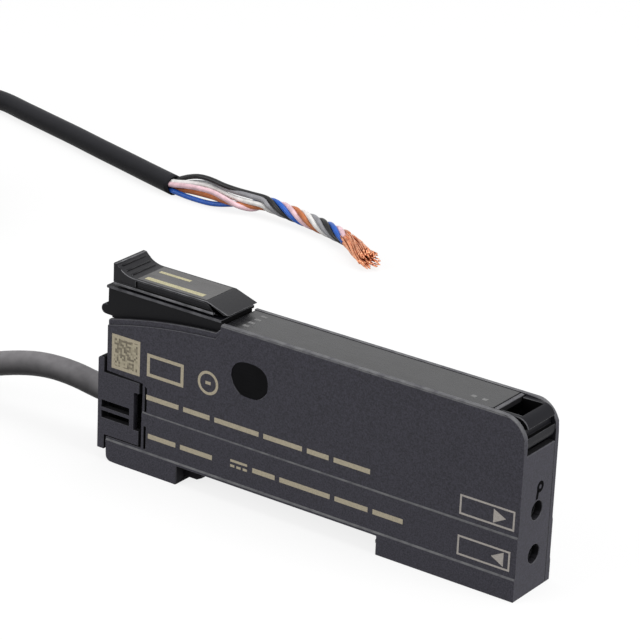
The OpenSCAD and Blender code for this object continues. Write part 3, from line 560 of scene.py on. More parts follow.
@dataclass
class Moulding:
    """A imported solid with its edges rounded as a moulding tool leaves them."""

    node: str
    body: str
    slot: str
    round_mm: float = 0.1
    round_wear_and_highlight: float = 0.2
    ledge_mm: float = 0.12
    slim_factor: float = 2.5
    segments: int = 2
    weld_mm: float = 0.002
    flat_deg: float = 0.6
    crease_deg: float = 20.0
    ridge_deg: float = 28.0
    bright_mm: float = 0.36
    long_share: float = 0.6
    large_mm2: float = 3.0
    rim_mm: float = math.inf
    rim_fade_mm: float = 3.0
    rim_slope: float = 0.12
    rim_highlight: float = 0.85

    @staticmethod
    def width(face: BMFace) -> float:
        """Estimates a face's narrow side from its area and its longest edge."""
        return face.calc_area() / max(max(e.calc_length() for e in face.edges), 1e-9)

    def is_ledge(self, face: BMFace) -> bool:
        """Tells a narrow step between two flat faces from a strip of a curved one.

        Args:
            face: Face that is looked at.

        Returns:
            Whether the face is such a step.
        """
        if self.width(face) >= self.bright_mm * MM:
            return False
        longest = max(e.calc_length() for e in face.edges)
        sides = [e for e in face.edges if e.calc_length() > self.long_share * longest]
        return all(math.degrees(e.calc_face_angle(0.0)) > self.crease_deg for e in sides)

    def wear_and_highlight_of(self, face: BMFace, rounded: bool) -> float:
        """Says how pale a face is made: wear and painted highlight on rounded edges, painted highlight on
        narrow ledges.

        Args:
            face: Face of the rounded mesh.
            rounded: Whether the rounding made it.

        Returns:
            Its paleness from zero to one.
        """
        # Narrow ledges are made fully pale, a painted highlight; convex rounded faces partly pale, as wear and
        # painted highlight.
        if not rounded:
            return 1.0 if self.is_ledge(face) else 0.0
        bulge = sum(e.calc_face_angle_signed(0.0) for e in face.edges)
        return self.round_wear_and_highlight if bulge > 0.0 else 0.0

    def rim_highlight_at(self, corner: BMLoop) -> float:
        """Fades the painted highlight on a wall's top rim from its top downwards."""
        drop = self.rim_mm - corner.vert.co.z / MM
        return self.rim_highlight * min(1.0, max(0.0, 1.0 - drop / self.rim_fade_mm))

    def bare_corners(self, bm: BMesh, rounded: set[BMFace]) -> list[int]:
        """Finds large faces that meet another one with no rounding between them.

        Args:
            bm: Rounded mesh of the piece.
            rounded: Faces that the rounding made.

        Returns:
            Numbers of the faces, which are shaded flat.
        """
        bm.faces.index_update()
        large = {f for f in bm.faces if f not in rounded and f.calc_area() > self.large_mm2 * MM * MM}
        found = set()
        for vert in bm.verts:
            for one, other in combinations([f for f in vert.link_faces if f in large], 2):
                if math.degrees(one.normal.angle(other.normal, 0.0)) > self.ridge_deg:
                    found.update((one.index, other.index))
        return sorted(found)

    def round_edges(self, bm: BMesh) -> set[BMFace]:
        """Rounds the sharp edges of the mesh and creases the blunt ones.

        Args:
            bm: Merged mesh of the solid.

        Returns:
            The faces that the rounding made.
        """
        paired = [e for e in bm.edges if len(e.link_faces) == 2]
        sharp = [e for e in paired if e.calc_face_angle(0.0) > math.radians(self.ridge_deg)]
        for edge in paired:
            if self.crease_deg < math.degrees(edge.calc_face_angle(0.0)) <= self.ridge_deg:
                edge.smooth = False
        slim = {e: min(self.width(f) for f in e.link_faces) / MM for e in sharp}
        narrow = self.slim_factor * self.round_mm
        ledges = [e for e in sharp if self.ledge_mm < slim[e] <= narrow and e.is_convex]
        wide = [e for e in sharp if slim[e] > narrow]
        rounded = set()
        for edges, offset in ((ledges, self.ledge_mm), (wide, self.round_mm)):
            cut = bmesh.ops.bevel(bm, geom=[e for e in edges if e.is_valid], offset=offset * MM,
                                  offset_type="OFFSET", affect="EDGES", segments=self.segments,
                                  profile=0.5, material=-1, clamp_overlap=False, loop_slide=True)
            rounded.update(cut["faces"])
        return rounded

    def build(self, shop: Workshop) -> Object:
        """Copies the solid's mesh, rounds its edges and puts the copy in its place.

        Args:
            shop: Workshop that registers the piece.

        Returns:
            The rounded piece.
        """
        bm = bmesh.new()
        bm.from_mesh(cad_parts[self.node].data)
        bmesh.ops.remove_doubles(bm, verts=bm.verts, dist=self.weld_mm * MM)
        bmesh.ops.dissolve_limit(bm, angle_limit=math.radians(self.flat_deg), verts=bm.verts, edges=bm.edges)
        rounded = self.round_edges(bm)
        wear_and_highlight = bm.loops.layers.float.new("edge_wear_and_highlight")
        for face in bm.faces:
            amount = self.wear_and_highlight_of(face, face in rounded)
            # Faces that look up also take the painted highlight of the wall's top rim.
            upward = face.normal.z > self.rim_slope
            for loop in face.loops:
                loop[wear_and_highlight] = max(amount, self.rim_highlight_at(loop)) if upward else amount
        bare = self.bare_corners(bm, rounded)
        obj = shop.piece(f"{self.node}_moulding", bm, self.body, self.slot, self.slot, True)
        for index in bare:
            obj.data.polygons[index].use_smooth = False
        even = obj.modifiers.new("even_normals", "WEIGHTED_NORMAL")
        even.keep_sharp = True
        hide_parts(self.node)
        return obj


def rectangle(u_low: float, v_low: float, u_high: float, v_high: float) -> list[Spot]:
    """Lists the corners of a rectangle in turn."""
    return [(u_low, v_low), (u_high, v_low), (u_high, v_high), (u_low, v_high)]


@dataclass
class FlatMark:
    """Thin raised shapes on one flat face of the part, in millimetres along the face."""

    name: str
    body: str
    slot: str
    finish: str
    axis: Axis
    level_mm: float
    thick_mm: float = 0.012
    bars: Sequence[Box] = ()
    outlines: Sequence[Sequence[Spot]] = ()
    rings: Sequence[Box] = ()
    frames: Sequence[Box] = ()
    line_mm: float = 0.3
    ring_sides: int = 40
    weld_mm: float = 0.0001

    def place(self, u: float, v: float, rise: float) -> Vector:
        """Puts a point of the mark on its face.

        Args:
            u: Way along the face in millimetres.
            v: Way up or across the face in millimetres.
            rise: Height over the face in millimetres.

        Returns:
            The point in metres.
        """
        if self.axis is Axis.NEAR:
            return Vector((u, self.level_mm - rise, v)) * MM
        if self.axis is Axis.FAR:
            return Vector((u, self.level_mm + rise, v)) * MM
        if self.axis is Axis.END:
            return Vector((self.level_mm + rise, u, v)) * MM
        return Vector((u, v, self.level_mm + rise)) * MM

    @staticmethod
    def hollow(bm: BMesh, face: BMFace, line: float) -> None:
        """Leaves only a line of a face's rim."""
        bmesh.ops.inset_region(bm, faces=[face], thickness=line, use_boundary=True, use_even_offset=True)
        bm.faces.remove(face)

    def build(self, shop: Workshop) -> Object:
        """Builds the shapes as one thin raised mesh.

        Args:
            shop: Workshop that registers the piece.

        Returns:
            The mark.
        """
        bm = bmesh.new()
        for outline in [rectangle(*bar) for bar in self.bars] + list(self.outlines):
            bm.faces.new([bm.verts.new((u, v, 0.0)) for u, v in outline])
        for u, v, outer, inner in self.rings:
            made = bmesh.ops.create_circle(bm, cap_ends=True, segments=self.ring_sides, radius=outer,
                                           matrix=Matrix.Translation((u, v, 0.0)))
            self.hollow(bm, made["verts"][0].link_faces[0], outer - inner)
        for corners in self.frames:
            face = bm.faces.new([bm.verts.new((u, v, 0.0)) for u, v in rectangle(*corners)])
            face.normal_update()
            self.hollow(bm, face, self.line_mm)
        bmesh.ops.remove_doubles(bm, verts=bm.verts, dist=self.weld_mm)
        raised = bmesh.ops.extrude_face_region(bm, geom=list(bm.faces))
        bmesh.ops.translate(bm, vec=(0, 0, self.thick_mm), verts=verts_of(raised["geom"]))
        for vert in bm.verts:
            vert.co = self.place(*vert.co)
        bmesh.ops.recalc_face_normals(bm, faces=bm.faces)
        return shop.piece(self.name, bm, self.body, self.finish, self.slot)


@dataclass
class Studio:
    """Camera, floor and soft light."""

    centre_mm: Point = (244.248, -356.593, 208.091)
    right: Point = (0.81373558, 0.57971872, 0.0419596)
    up: Point = (-0.25046006, 0.28458765, 0.92535379)
    back: Point = (0.52450373, -0.7635025, 0.37677548)
    lens_mm: float = 176.635
    sensor_mm: float = 36.0
    clip_m: Spot = (0.01, 20.0)
    floor_m: float = 6.0
    floor_bounce: Light = (0.24, 0.24, 0.24, 1.0)
    floor_paper: Light = (0.95, 0.95, 0.95, 1.0)
    floor_glow: float = 0.82
    sky: float = 0.36
    target_m: Point = (0.0, 0.02, 0.01)
    lamps: tuple[tuple[str, Point, float, float], ...] = (
        ("top_softbox", (0.05, 0.12, 0.8), 0.7, 3.4),
        ("right_softbox", (0.75, 0.05, 0.4), 0.5, 4.6),
        ("left_fill", (-0.45, -0.6, 0.4), 0.6, 3.5))

    def build(self) -> None:
        """Sets up the whole studio."""
        bpy.context.scene.view_settings.view_transform = "Standard"
        self.camera()
        self.floor()
        self.world()
        for lamp in self.lamps:
            self.softbox(*lamp)

    def camera(self) -> None:
        """Adds the camera at the photograph's place."""
        data = bpy.data.cameras.new("studio_camera")
        data.lens = self.lens_mm
        data.sensor_width = self.sensor_mm
        data.clip_start, data.clip_end = self.clip_m
        obj = add_object("studio_camera", data)
        turn = Matrix((self.right, self.up, self.back)).transposed().to_4x4()
        obj.matrix_world = Matrix.Translation(Vector(self.centre_mm) * MM) @ turn
        bpy.context.scene.camera = obj

    def softbox(self, name: str, at: Point, side: float, power: float) -> None:
        """Adds a square area lamp.

        Args:
            name: Name of the lamp.
            at: Its place in metres.
            side: Its side in metres.
            power: Its power in watts.
        """
        data = bpy.data.lights.new(name, "AREA")
        data.size = side
        data.energy = power
        obj = add_object(name, data)
        obj.location = at
        obj.rotation_euler = (Vector(self.target_m) - Vector(at)).to_track_quat("-Z", "Y").to_euler()

    def floor(self) -> None:
        """Lays the pale floor, white to the camera and dimmer in the light that it throws back."""
        bm = bmesh.new()
        bmesh.ops.create_grid(bm, x_segments=1, y_segments=1, size=self.floor_m / 2)
        obj = add_mesh("studio_floor", bm)
        g = NodeGraph(bpy.data.materials.new("studio_floor"))
        bounce = g.node("ShaderNodeBsdfDiffuse", 0, {"Color": self.floor_bounce})
        paper = g.node("ShaderNodeBsdfDiffuse", 0, {"Color": self.floor_paper})
        glow = g.node("ShaderNodeEmission", 0, {"Color": WHITE})
        bright = g.node("ShaderNodeMixShader", 0, {0: self.floor_glow, 1: paper, 2: glow})
        g.close(g.node("ShaderNodeMixShader", 0, {0: g.seen(), 1: bounce, 2: bright}))
        obj.data.materials.append(g.owner)

    def world(self) -> None:
        """Sets the sky's light and the white that the camera sees."""
        g = NodeGraph(bpy.data.worlds.new("studio_sky"))
        bpy.context.scene.world = g.owner
        lit = g.node("ShaderNodeBackground", 0, {"Color": WHITE, "Strength": self.sky})
        white = g.node("ShaderNodeBackground", 0, {"Color": WHITE})
        g.close(g.node("ShaderNodeMixShader", 0, {0: g.seen(), 1: lit, 2: white}), "ShaderNodeOutputWorld")


def smooth_path(points: Sequence[Vector], step: float) -> list[Vector]:
    """Runs a smooth curve through a route.

    Args:
        points: Points of the route.
        step: Distance between the curve's points.

    Returns:
        Points along the curve.
    """
    path: list[Vector] = []
    last = len(points) - 1
    for i in range(last):
        before, a = points[max(0, i - 1)], points[i]
        b, after = points[i + 1], points[min(last, i + 2)]
        steps = max(2, round((b - a).length / step))
        for k in range(steps):
            t = k / steps
            path.append(0.5 * ((2 * a) + (b - before) * t + (2 * before - 5 * a + 4 * b - after) * t * t
                               + (3 * a - before - 3 * b + after) * t * t * t))
    path.append(points[last].copy())
    return path


def add_tube(bm: BMesh, path: Sequence[Vector], radius: float, sides: int,
             mouth: Spot = (0.0, 0.0)) -> None:
    """Sweeps a round section along a path.

    Args:
        bm: Mesh that takes the tube.
        path: Points of the path in millimetres.
        radius: Radius of the section in millimetres.
        sides: Sides of the section.
        mouth: Wall and depth of a mouth in the far end, in millimetres.
    """
    ring = bmesh.ops.create_circle(bm, cap_ends=False, segments=sides, radius=radius * MM)["verts"]
    flat = [v.co.copy() for v in ring]
    aim = (path[1] - path[0]).normalized()
    turn = aim.to_track_quat("Z", "Y")
    for vert, co in zip(ring, flat):
        vert.co = turn @ co + path[0] * MM
    edges = list({e for v in ring for e in v.link_edges})
    bm.faces.new(list(reversed(ring)))
    last = len(path) - 1
    for i in range(1, last + 1):
        out = bmesh.ops.extrude_edge_only(bm, edges=edges)["geom"]
        ring = verts_of(out)
        fresh = set(ring)
        edges = [g for g in out if isinstance(g, BMEdge) and fresh.issuperset(g.verts)]
        heading = (path[min(last, i + 1)] - path[i - 1]).normalized()
        turn = aim.rotation_difference(heading) @ turn
        aim = heading
        for vert, co in zip(ring, flat):
            vert.co = turn @ co + path[i] * MM
    cap = bmesh.ops.edgeloop_fill(bm, edges=edges)["faces"]
    if mouth[0] > 0:
        bmesh.ops.inset_region(bm, faces=cap, thickness=mouth[0] * MM)
        sunk = bmesh.ops.extrude_face_region(bm, geom=cap)["geom"]
        bmesh.ops.translate(bm, vec=-mouth[1] * MM * aim, verts=verts_of(sunk))
        bmesh.ops.delete(bm, geom=cap, context="FACES_ONLY")


@dataclass
class Cable:
    """The two-metre cable: lead, coil and stripped tail as one cord."""

    diameter_mm: float = 4.0
    length_m: float = 1.95
    lead: tuple[Point, ...] = (
        (-32.45, 0, 9.2), (-38.75, 0, 9.2), (-43, 0, 9.6), (-47, 0, 10.1), (-51, 0, 10.2), (-55, 0, 9.8),
        (-59, 0, 8.9), (-63.5, 0, 7.5), (-69, 0.2, 5.4), (-75, 0.8, 3.4), (-82, 1.8, 2.2), (-91, 3.2, 2),
        (-101, 5, 2), (-112, 7.2, 2), (-123, 9.4, 2), (-134, 11.2, 2), (-141, 12, 2))
    tail: tuple[Point, ...] = (
        (-178, 43, 13), (-179.4, 54, 9), (-181.8, 66, 4.6), (-184.2, 78, 2.4), (-185.6, 90, 2),
        (-184.4, 101, 2), (-180, 109.6, 2), (-172.6, 114.8, 2), (-163, 115.5, 2), (-154, 113.2, 2),
        (-145.5, 110.8, 2), (-137, 108.4, 2), (-128.5, 105.8, 2), (-120, 103.3, 2), (-112, 100.9, 2),
        (-104, 98.6, 2))
    coil_at: Spot = (-150.0, 40.0)
    coil_outer: float = 28.0
    coil_inner: float = 16.0
    winds_in: tuple[Spot, ...] = ((0, 3), (8, 11))
    winds_out: tuple[Spot, ...] = ((4, 7), (11.6, 12.3))
    climbs: Point = (2.95, 6.95, 10.9)
    climb_turns: float = 0.65
    coil_turns: float = 12.2
    turn_points: int = 16
    sides: int = 20
    step_mm: float = 1.6
    mouth: Spot = (0.45, 1.2)

    def coil_point(self, way: float) -> Vector:
        """Gives a point of the coil.

        Args:
            way: Turns wound so far, clockwise from the coil's near side.

        Returns:
            The point in millimetres.
        """
        wide = self.coil_outer - self.coil_inner
        radius = self.coil_outer
        for windings, change in ((self.winds_in, -wide), (self.winds_out, wide)):
            for start, end in windings:
                radius += change * min(1.0, max(0.0, (way - start) / (end - start)))
        height = self.diameter_mm / 2
        for start in self.climbs:
            share = min(1.0, max(0.0, (way - start) / self.climb_turns))
            height += self.diameter_mm * share * share * (3 - 2 * share)
        angle = math.radians(-90 - 360 * way)
        x, y = self.coil_at
        return Vector((x + radius * math.cos(angle), y + radius * math.sin(angle), height))

    def route(self) -> list[Vector]:
        """Lists the cord's points from the device to the stripped end.

        Returns:
            The points in millimetres.
        """
        count = int(self.coil_turns * self.turn_points)
        coil = [self.coil_point(i / self.turn_points) for i in range(count + 1)]
        return [Vector(p) for p in self.lead] + coil + [Vector(p) for p in self.tail]

    def build(self, shop: Workshop) -> Object:
        """Args:
            shop: Workshop that registers the piece.

        Returns:
            The cord.
        """
        path = smooth_path(self.route(), self.step_mm)
        bm = bmesh.new()
        add_tube(bm, path, self.diameter_mm / 2, self.sides, self.mouth)
        bmesh.ops.recalc_face_normals(bm, faces=bm.faces)
        bm.verts.index_update()
        way = bm.verts.layers.float.new("cord_way")
        under = bm.verts.layers.float.new("underside")
        bm.normal_update()
        last = len(path) - 1
        for vert in bm.verts:
            vert[way] = min(last, vert.index // self.sides) / last
            # How far each point looks down; the jacket paints shade by it.
            vert[under] = 0.5 - 0.5 * vert.normal.z
        obj = shop.piece("cable_cord", bm, "case", "jacket", "jacket", True)
        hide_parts("cable_lead", "cable_coil", "cable_tail")
        return obj


@dataclass
class CoreBundle:
    """The six cores: loose where the jacket ends, then twisted, with bare copper at the tip."""

    diameter_mm: float = 1.0
    sides: int = 14
    step_mm: float = 0.5
    pitch_mm: float = 14.7
    twist_r: float = 1.0
    twist_step_mm: float = 0.6
    first_turn: float = 71.0
    axis: tuple[Point, ...] = (
        (-84, 100.6, 2.8), (-81.5, 100.7, 2.6), (-75.5, 100.4, 2.2), (-69, 99.2, 2.0), (-63, 97.4, 2.0),
        (-61.8, 96.9, 2.0))
    brush_axis: tuple[Point, ...] = (
        (-62.4, 97.1, 2.0), (-60.3, 95.8, 2.0), (-58, 94.2, 2.0), (-55, 92.2, 2.0), (-52.2, 90.4, 2.0))
    brush_step_mm: float = 1.2
    brush_seed: int = 7
    strands: int = 20
    strand_mm: float = 0.27
    strand_sides: int = 6
    tuft_r: float = 0.42
    tuft_turn: float = 2.4
    tuft_flare: float = 0.25
    brush_turn: float = 1.2
    brush_draw: float = 0.85
    waves: float = 7.0
    loose: dict[str, tuple[Point, ...]] = field(default_factory=lambda: {
        "black": ((-105, 99.1, 2.87), (-103.6, 99.3, 3.2), (-101.4, 99.6, 4.1), (-99.1, 99.6, 4.75),
                  (-97, 99.6, 4.9), (-95, 99.6, 4.75), (-92.9, 99.7, 4.4), (-90, 100, 4.1), (-87, 100.5, 3.9)),
        "blue": ((-105, 98.1, 1.13), (-103.4, 98.0, 1.0), (-100.1, 97.9, 0.75), (-96.2, 98.0, 0.65),
                 (-93.5, 98.3, 0.8), (-90.5, 99.1, 1.3), (-87.3, 100.5, 2.0)),
        "pink": ((-105, 97.6, 2.4), (-103.4, 97.6, 2.5), (-101, 97.6, 2.9), (-97.6, 97.5, 3.3),
                 (-94.2, 97.4, 3.4), (-91.2, 97.5, 2.8), (-88.6, 98.3, 1.7), (-86.2, 99.8, 1.2)),
        "brown": ((-105, 99.1, 1.13), (-103.4, 99.0, 1.2), (-100.5, 98.8, 1.6), (-95.6, 98.5, 1.9),
                  (-92.3, 98.3, 1.9), (-89.3, 98.7, 1.7), (-86.8, 99.5, 1.7)),
        "white": ((-105, 98.1, 2.87), (-103.4, 98.3, 2.9), (-100.9, 98.9, 3.2), (-97.7, 99.6, 3.4),
                  (-94.6, 99.8, 3.1), (-91.2, 99.6, 2.6), (-87.4, 99.4, 2.6)),
        "grey": ((-105, 99.6, 2.0), (-103.4, 99.8, 2.2), (-100.6, 100.3, 3.0), (-96.7, 100.5, 3.6),
                 (-93.3, 100.1, 3.7), (-90, 99.8, 3.7), (-87, 99.8, 3.7)),
    })

    @staticmethod
    def across(ahead: Vector, angle: float) -> Vector:
        """Gives a direction square to a heading, turned round it from its left side."""
        left = UP.cross(ahead).normalized()
        return math.cos(angle) * left + math.sin(angle) * ahead.cross(left)

    def helix(self, order: int) -> list[Vector]:
        """Gives the twisted run of one core.

        Args:
            order: Place of the core around the twist.

        Returns:
            Its points in millimetres.
        """
        path = smooth_path([Vector(p) for p in self.axis], self.twist_step_mm)
        way = 0.0
        points = []
        for i, point in enumerate(path):
            ahead = (path[min(len(path) - 1, i + 1)] - path[max(0, i - 1)]).normalized()
            if i > 0:
                way += (point - path[i - 1]).length
            angle = math.radians(self.first_turn - 60 * order + 360 * way / self.pitch_mm)
            points.append(point + self.twist_r * self.across(ahead, angle))
        return points[::3] + [points[-1]]

    def brush(self, shop: Workshop, ends: Sequence[Vector]) -> Object:
        """Makes the frayed copper strands of all cores.

        Args:
            shop: Workshop that registers the piece.
            ends: Last point of each core.

        Returns:
            The brush.
        """
        chance = random.Random(self.brush_seed)
        axis = smooth_path([Vector(p) for p in self.brush_axis], self.brush_step_mm)
        root = axis[0]
        ahead = (axis[-1] - root).normalized()
        bm = bmesh.new()
        for end in ends:
            from_root = end - Vector(self.axis[-1])
            for _ in range(self.strands):
                spin = chance.uniform(0, FULL_TURN)
                inner = self.tuft_r * math.sqrt(chance.random())
                reach = chance.uniform(0.84, 1.04)
                spread = chance.uniform(0.75, 1.5)
                curl = chance.uniform(0.1, 0.35)
                phase = chance.uniform(0, FULL_TURN)
                path = []
                for i, point in enumerate(axis):
                    share = reach * i / (len(axis) - 1)
                    strand = inner * self.across(ahead, spin + self.tuft_turn * share)
                    turn = Matrix.Rotation(self.brush_turn * share, 3, ahead)
                    tuft = turn @ (from_root * self.brush_draw)
                    wave = curl * share * math.sin(phase + self.waves * share)
                    path.append(root + (point - root) * reach + tuft * (1 + self.tuft_flare * share)
                                + strand * (1 + spread * share) + wave * self.across(ahead, phase))
                add_tube(bm, path, self.strand_mm / 2, self.strand_sides)
        bmesh.ops.recalc_face_normals(bm, faces=bm.faces)
        brush = shop.piece("copper_brush", bm, "case", "copper", "copper", True)
        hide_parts("copper_ends")
        return brush

    def build(self, shop: Workshop) -> None:
        """Args:
            shop: Workshop that registers the pieces.
        """
        routes = {colour: smooth_path([Vector(p) for p in points] + self.helix(order), self.step_mm)
                  for order, (colour, points) in enumerate(self.loose.items())}
        brush = self.brush(shop, [path[-1] for path in routes.values()])
        for colour, path in routes.items():
            bm = bmesh.new()
            add_tube(bm, path, self.diameter_mm / 2, self.sides)
            bmesh.ops.recalc_face_normals(bm, faces=bm.faces)
            obj = shop.piece(f"core_{colour}_wire", bm, "case", colour, colour, True)
            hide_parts(f"core_{colour}")


@dataclass
class FacePrint:
    """Marks printed on the near side of the case: frames, arrows, a ring and plain strokes."""

    upper_y: float = -4.7
    middle_y: float = -4.85
    bar_mm: float = 0.8
    gap_mm: float = 0.9
    upper_rows: tuple[Row, ...] = ((-29.4, 12.55, (6.3, 5.1, 8.4, 7.2, 4.0, 6.6)),)
    middle_rows: tuple[Row, ...] = ((-28.8, 6.15, (5.4, 6.2)), (-8.6, 6.4, (4.2, 9.3, 6.0, 5.4)))
    current_at: Spot = (-12.8, 6.1)
    ring: Box = (-17.6, 18.64, 1.95, 1.5)
    ring_dash: Box = (-18.1, 18.4, -17.1, 18.9)
    plain_frame: Box = (-29.4, 16.5, -22.3, 20.3)
    plain_line_mm: float = 0.55
    out_frame: Box = (28.55, 11.12, 37.97, 14.3)
    out_arrow: tuple[Spot, ...] = ((34.35, 11.5), (36.48, 12.66), (34.35, 13.7))
    in_frame: Box = (28.63, 4.66, 37.7, 7.86)
    in_arrow: tuple[Spot, ...] = ((34.45, 6.27), (36.58, 5.15), (36.58, 7.4))
    code_patch: Box = (-36.36, 15.97, -30.8, 21.75)
    code_cells: Box = (-35.85, 16.5, -31.3, 21.2)
    code_rise_mm: float = 0.016

    def words(self, rows: Iterable[Row]) -> list[Box]:
        """Lays out rows of plain word-long bars.

        Args:
            rows: Left end, foot and bar lengths of each row.

        Returns:
            The bars.
        """
        bars = []
        for start, base, widths in rows:
            for width in widths:
                bars.append((start, base, start + width, base + self.bar_mm))
                start += width + self.gap_mm
        return bars

    def direct_current(self) -> list[Box]:
        """Lays out the sign for direct current, a line over a broken line.

        Returns:
            The bars.
        """
        u, v = self.current_at
        dashes = [(u + 1.2 * i, v + 0.1, u + 1.2 * i + 0.8, v + 0.5) for i in range(3)]
        return [(u, v + 0.95, u + 3.2, v + 1.35)] + dashes

    def build(self, shop: Workshop) -> None:
        """Builds every mark of the near face.

        Args:
            shop: Workshop that registers the pieces.
        """
        def near(name: str, finish: str, level: float, **shapes: object) -> None:
            """Builds one mark of the near face."""
            FlatMark(name, "case", "white", finish, Axis.NEAR, level, **shapes).build(shop)

        near("face_print_upper", "face_ink", self.upper_y,
             bars=self.words(self.upper_rows) + [self.ring_dash], rings=[self.ring],
             frames=[self.plain_frame], line_mm=self.plain_line_mm)
        near("face_print_middle", "face_ink", self.middle_y,
             bars=self.words(self.middle_rows) + self.direct_current())
        near("arrow_frame_upper", "frame_ink", self.upper_y, frames=[self.out_frame], outlines=[self.out_arrow])
        near("arrow_frame_lower", "frame_ink", self.middle_y, frames=[self.in_frame], outlines=[self.in_arrow])
        near("code_patch", "face_ink", self.upper_y, bars=[self.code_patch])
        near("code_cells", "code_field", self.upper_y, bars=[self.code_cells], thick_mm=self.code_rise_mm)


@dataclass
class PanelMarks:
    """Small marks on the top panel, the end face and the lid."""

    panel_z: float = 28.65
    end_x: float = 38.75
    lid_z: float = 31.3
    lid_places: tuple[float, ...] = (-2.2, -0.75, 0.8, 2.35)
    lid_places_x: Spot = (-13.2, -12.1)
    lid_place_half: float = 0.32
    lever_places: tuple[float, ...] = (27.6, 29.5)
    lever_place_len: float = 0.85
    lever_places_y: Spot = (-2.25, -1.5)
    port_ring: Box = (0.5, 16.72, 0.9, 0.34)
    port_stem: tuple[Spot, ...] = ((-0.6, 14.9), (0.05, 14.9), (0.22, 16.05), (-0.34, 16.4))
    film: Box = (-32.7, -3.3, -19.4, 3.3)
    film_mm: float = 0.03
    film_rows: tuple[Box, ...] = ((-31.9, -2.6, -20.7, -1.6), (-31.9, 0.9, -25.9, 1.6))

    def build(self, shop: Workshop) -> None:
        """Builds the marks.

        Args:
            shop: Workshop that registers the pieces.
        """
        half, (left, right), (low, high) = self.lid_place_half, self.lid_places_x, self.lever_places_y
        places = [(left, y - half, right, y + half) for y in self.lid_places]
        places += [(x, low, x + self.lever_place_len, high) for x in self.lever_places]
        FlatMark("panel_marks", "case", "white", "pale_ink", Axis.TOP, self.panel_z, bars=places).build(shop)
        FlatMark("end_pictogram", "case", "black", "dark_ink", Axis.END, self.end_x, rings=[self.port_ring],
                 outlines=[self.port_stem]).build(shop)
        FlatMark("lid_label", "key_lid", "panel_plastic", "label_film", Axis.TOP, self.lid_z, self.film_mm,
                 bars=[self.film]).build(shop)
        FlatMark("lid_label_rows", "key_lid", "white", "label_ink", Axis.TOP, self.lid_z + self.film_mm,
                 bars=self.film_rows).build(shop)


@dataclass
class WindowRims:
    """Rings of case plastic that narrow the round side windows to an oval."""

    hole: Spot = (-9.8, 21.7)
    hole_radius_mm: float = 3.75
    oval: Spot = (-9.86, 21.15)
    half_mm: Spot = (3.44, 2.84)
    squareness: float = 2.5
    face_mm: float = 4.6
    thick_mm: float = 0.112
    steps: int = 72

    def pair(self, step: int) -> tuple[Spot, Spot]:
        """Finds a point of the oval and the point of the ring's rim beside it.

        Args:
            step: Number of the point round the ring.

        Returns:
            The two points in millimetres.
        """
        turn = FULL_TURN * step / self.steps
        way = (math.cos(turn), math.sin(turn))
        inner = [c + h * math.copysign(abs(w) ** (2 / self.squareness), w)
                 for c, h, w in zip(self.oval, self.half_mm, way)]
        outer = [c + self.hole_radius_mm * w for c, w in zip(self.hole, way)]
        return (inner[0], inner[1]), (outer[0], outer[1])

    def build(self, shop: Workshop) -> None:
        """Builds the rings of both windows.

        Args:
            shop: Workshop that registers the pieces.
        """
        pairs = [self.pair(step) for step in range(self.steps + 1)]
        parts = [(one[0], one[1], two[1], two[0]) for one, two in zip(pairs, pairs[1:])]
        for axis, level in ((Axis.NEAR, -self.face_mm), (Axis.FAR, self.face_mm)):
            FlatMark(f"comm_window_{axis.value}_rim", "case", "case_plastic", "case_plastic", axis, level,
                     self.thick_mm, outlines=parts).build(shop)


@dataclass
class KeyMarks:
    """Arrow, bar and dot on the tops of the four keys."""

    size_mm: float = 0.9
    bar_half_mm: float = 0.22
    arrow_foot: float = 0.7
    arrow_tip: float = 0.9
    dot: Spot = (0.8, 0.45)

    def shapes(self, sign: KeySign, x: float, y: float) -> dict[str, list]:
        """Draws a key's sign.

        Args:
            sign: Sign of the key.
            x: Middle of the key along the case.
            y: Middle of the key across the case.

        Returns:
            Shapes of the mark, by the name of their kind.
        """
        s, foot, tip = self.size_mm, self.size_mm * self.arrow_foot, self.size_mm * self.arrow_tip
        if sign is KeySign.UP_ARROW:
            return {"outlines": [[(x - s, y - foot), (x + s, y - foot), (x, y + tip)]]}
        if sign is KeySign.DOWN_ARROW:
            return {"outlines": [[(x - s, y + foot), (x, y - tip), (x + s, y + foot)]]}
        if sign is KeySign.BAR:
            return {"bars": [(x - s, y - self.bar_half_mm, x + s, y + self.bar_half_mm)]}
        return {"rings": [(x, y, s * self.dot[0], s * self.dot[1])]}

    def build(self, shop: Workshop) -> None:
        """Builds one mark on each key.

        Args:
            shop: Workshop that registers the pieces.
        """
        for sign in KeySign:
            low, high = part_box(sign.value)
            x, y = (low[0] + high[0]) / 2 / MM, (low[1] + high[1]) / 2 / MM
            FlatMark(f"{sign.value}_mark", sign.value, "white", "dark_ink", Axis.TOP, high[2] / MM,
                     **self.shapes(sign, x, y)).build(shop)


@dataclass
class Internals:
    """Solids that stay as packed and only take a finish."""

    slots: dict[str, str] = field(default_factory=lambda: {
        "lid_hinge_pin": "steel", "key_switches": "chip", "digit_display_red": "red_display",
        "digit_display_green": "green_display", "top_board": "board", "main_board": "board",
        "controller_chip": "chip", "supply_regulator": "chip", "output_transistors": "chip",
        "smoothing_capacitor": "can", "comm_optics": "receiver", "fibre_block": "block_plastic",
        "emitter_led": "emitter", "receiver_photodiode": "receiver", "fibre_clamp": "block_plastic",
        "clamp_spring": "steel", "hook_spring": "steel"})

    def build(self, shop: Workshop) -> None:
        """Dresses each solid."""
        for node, slot in self.slots.items():
            shop.dress(node, slot)


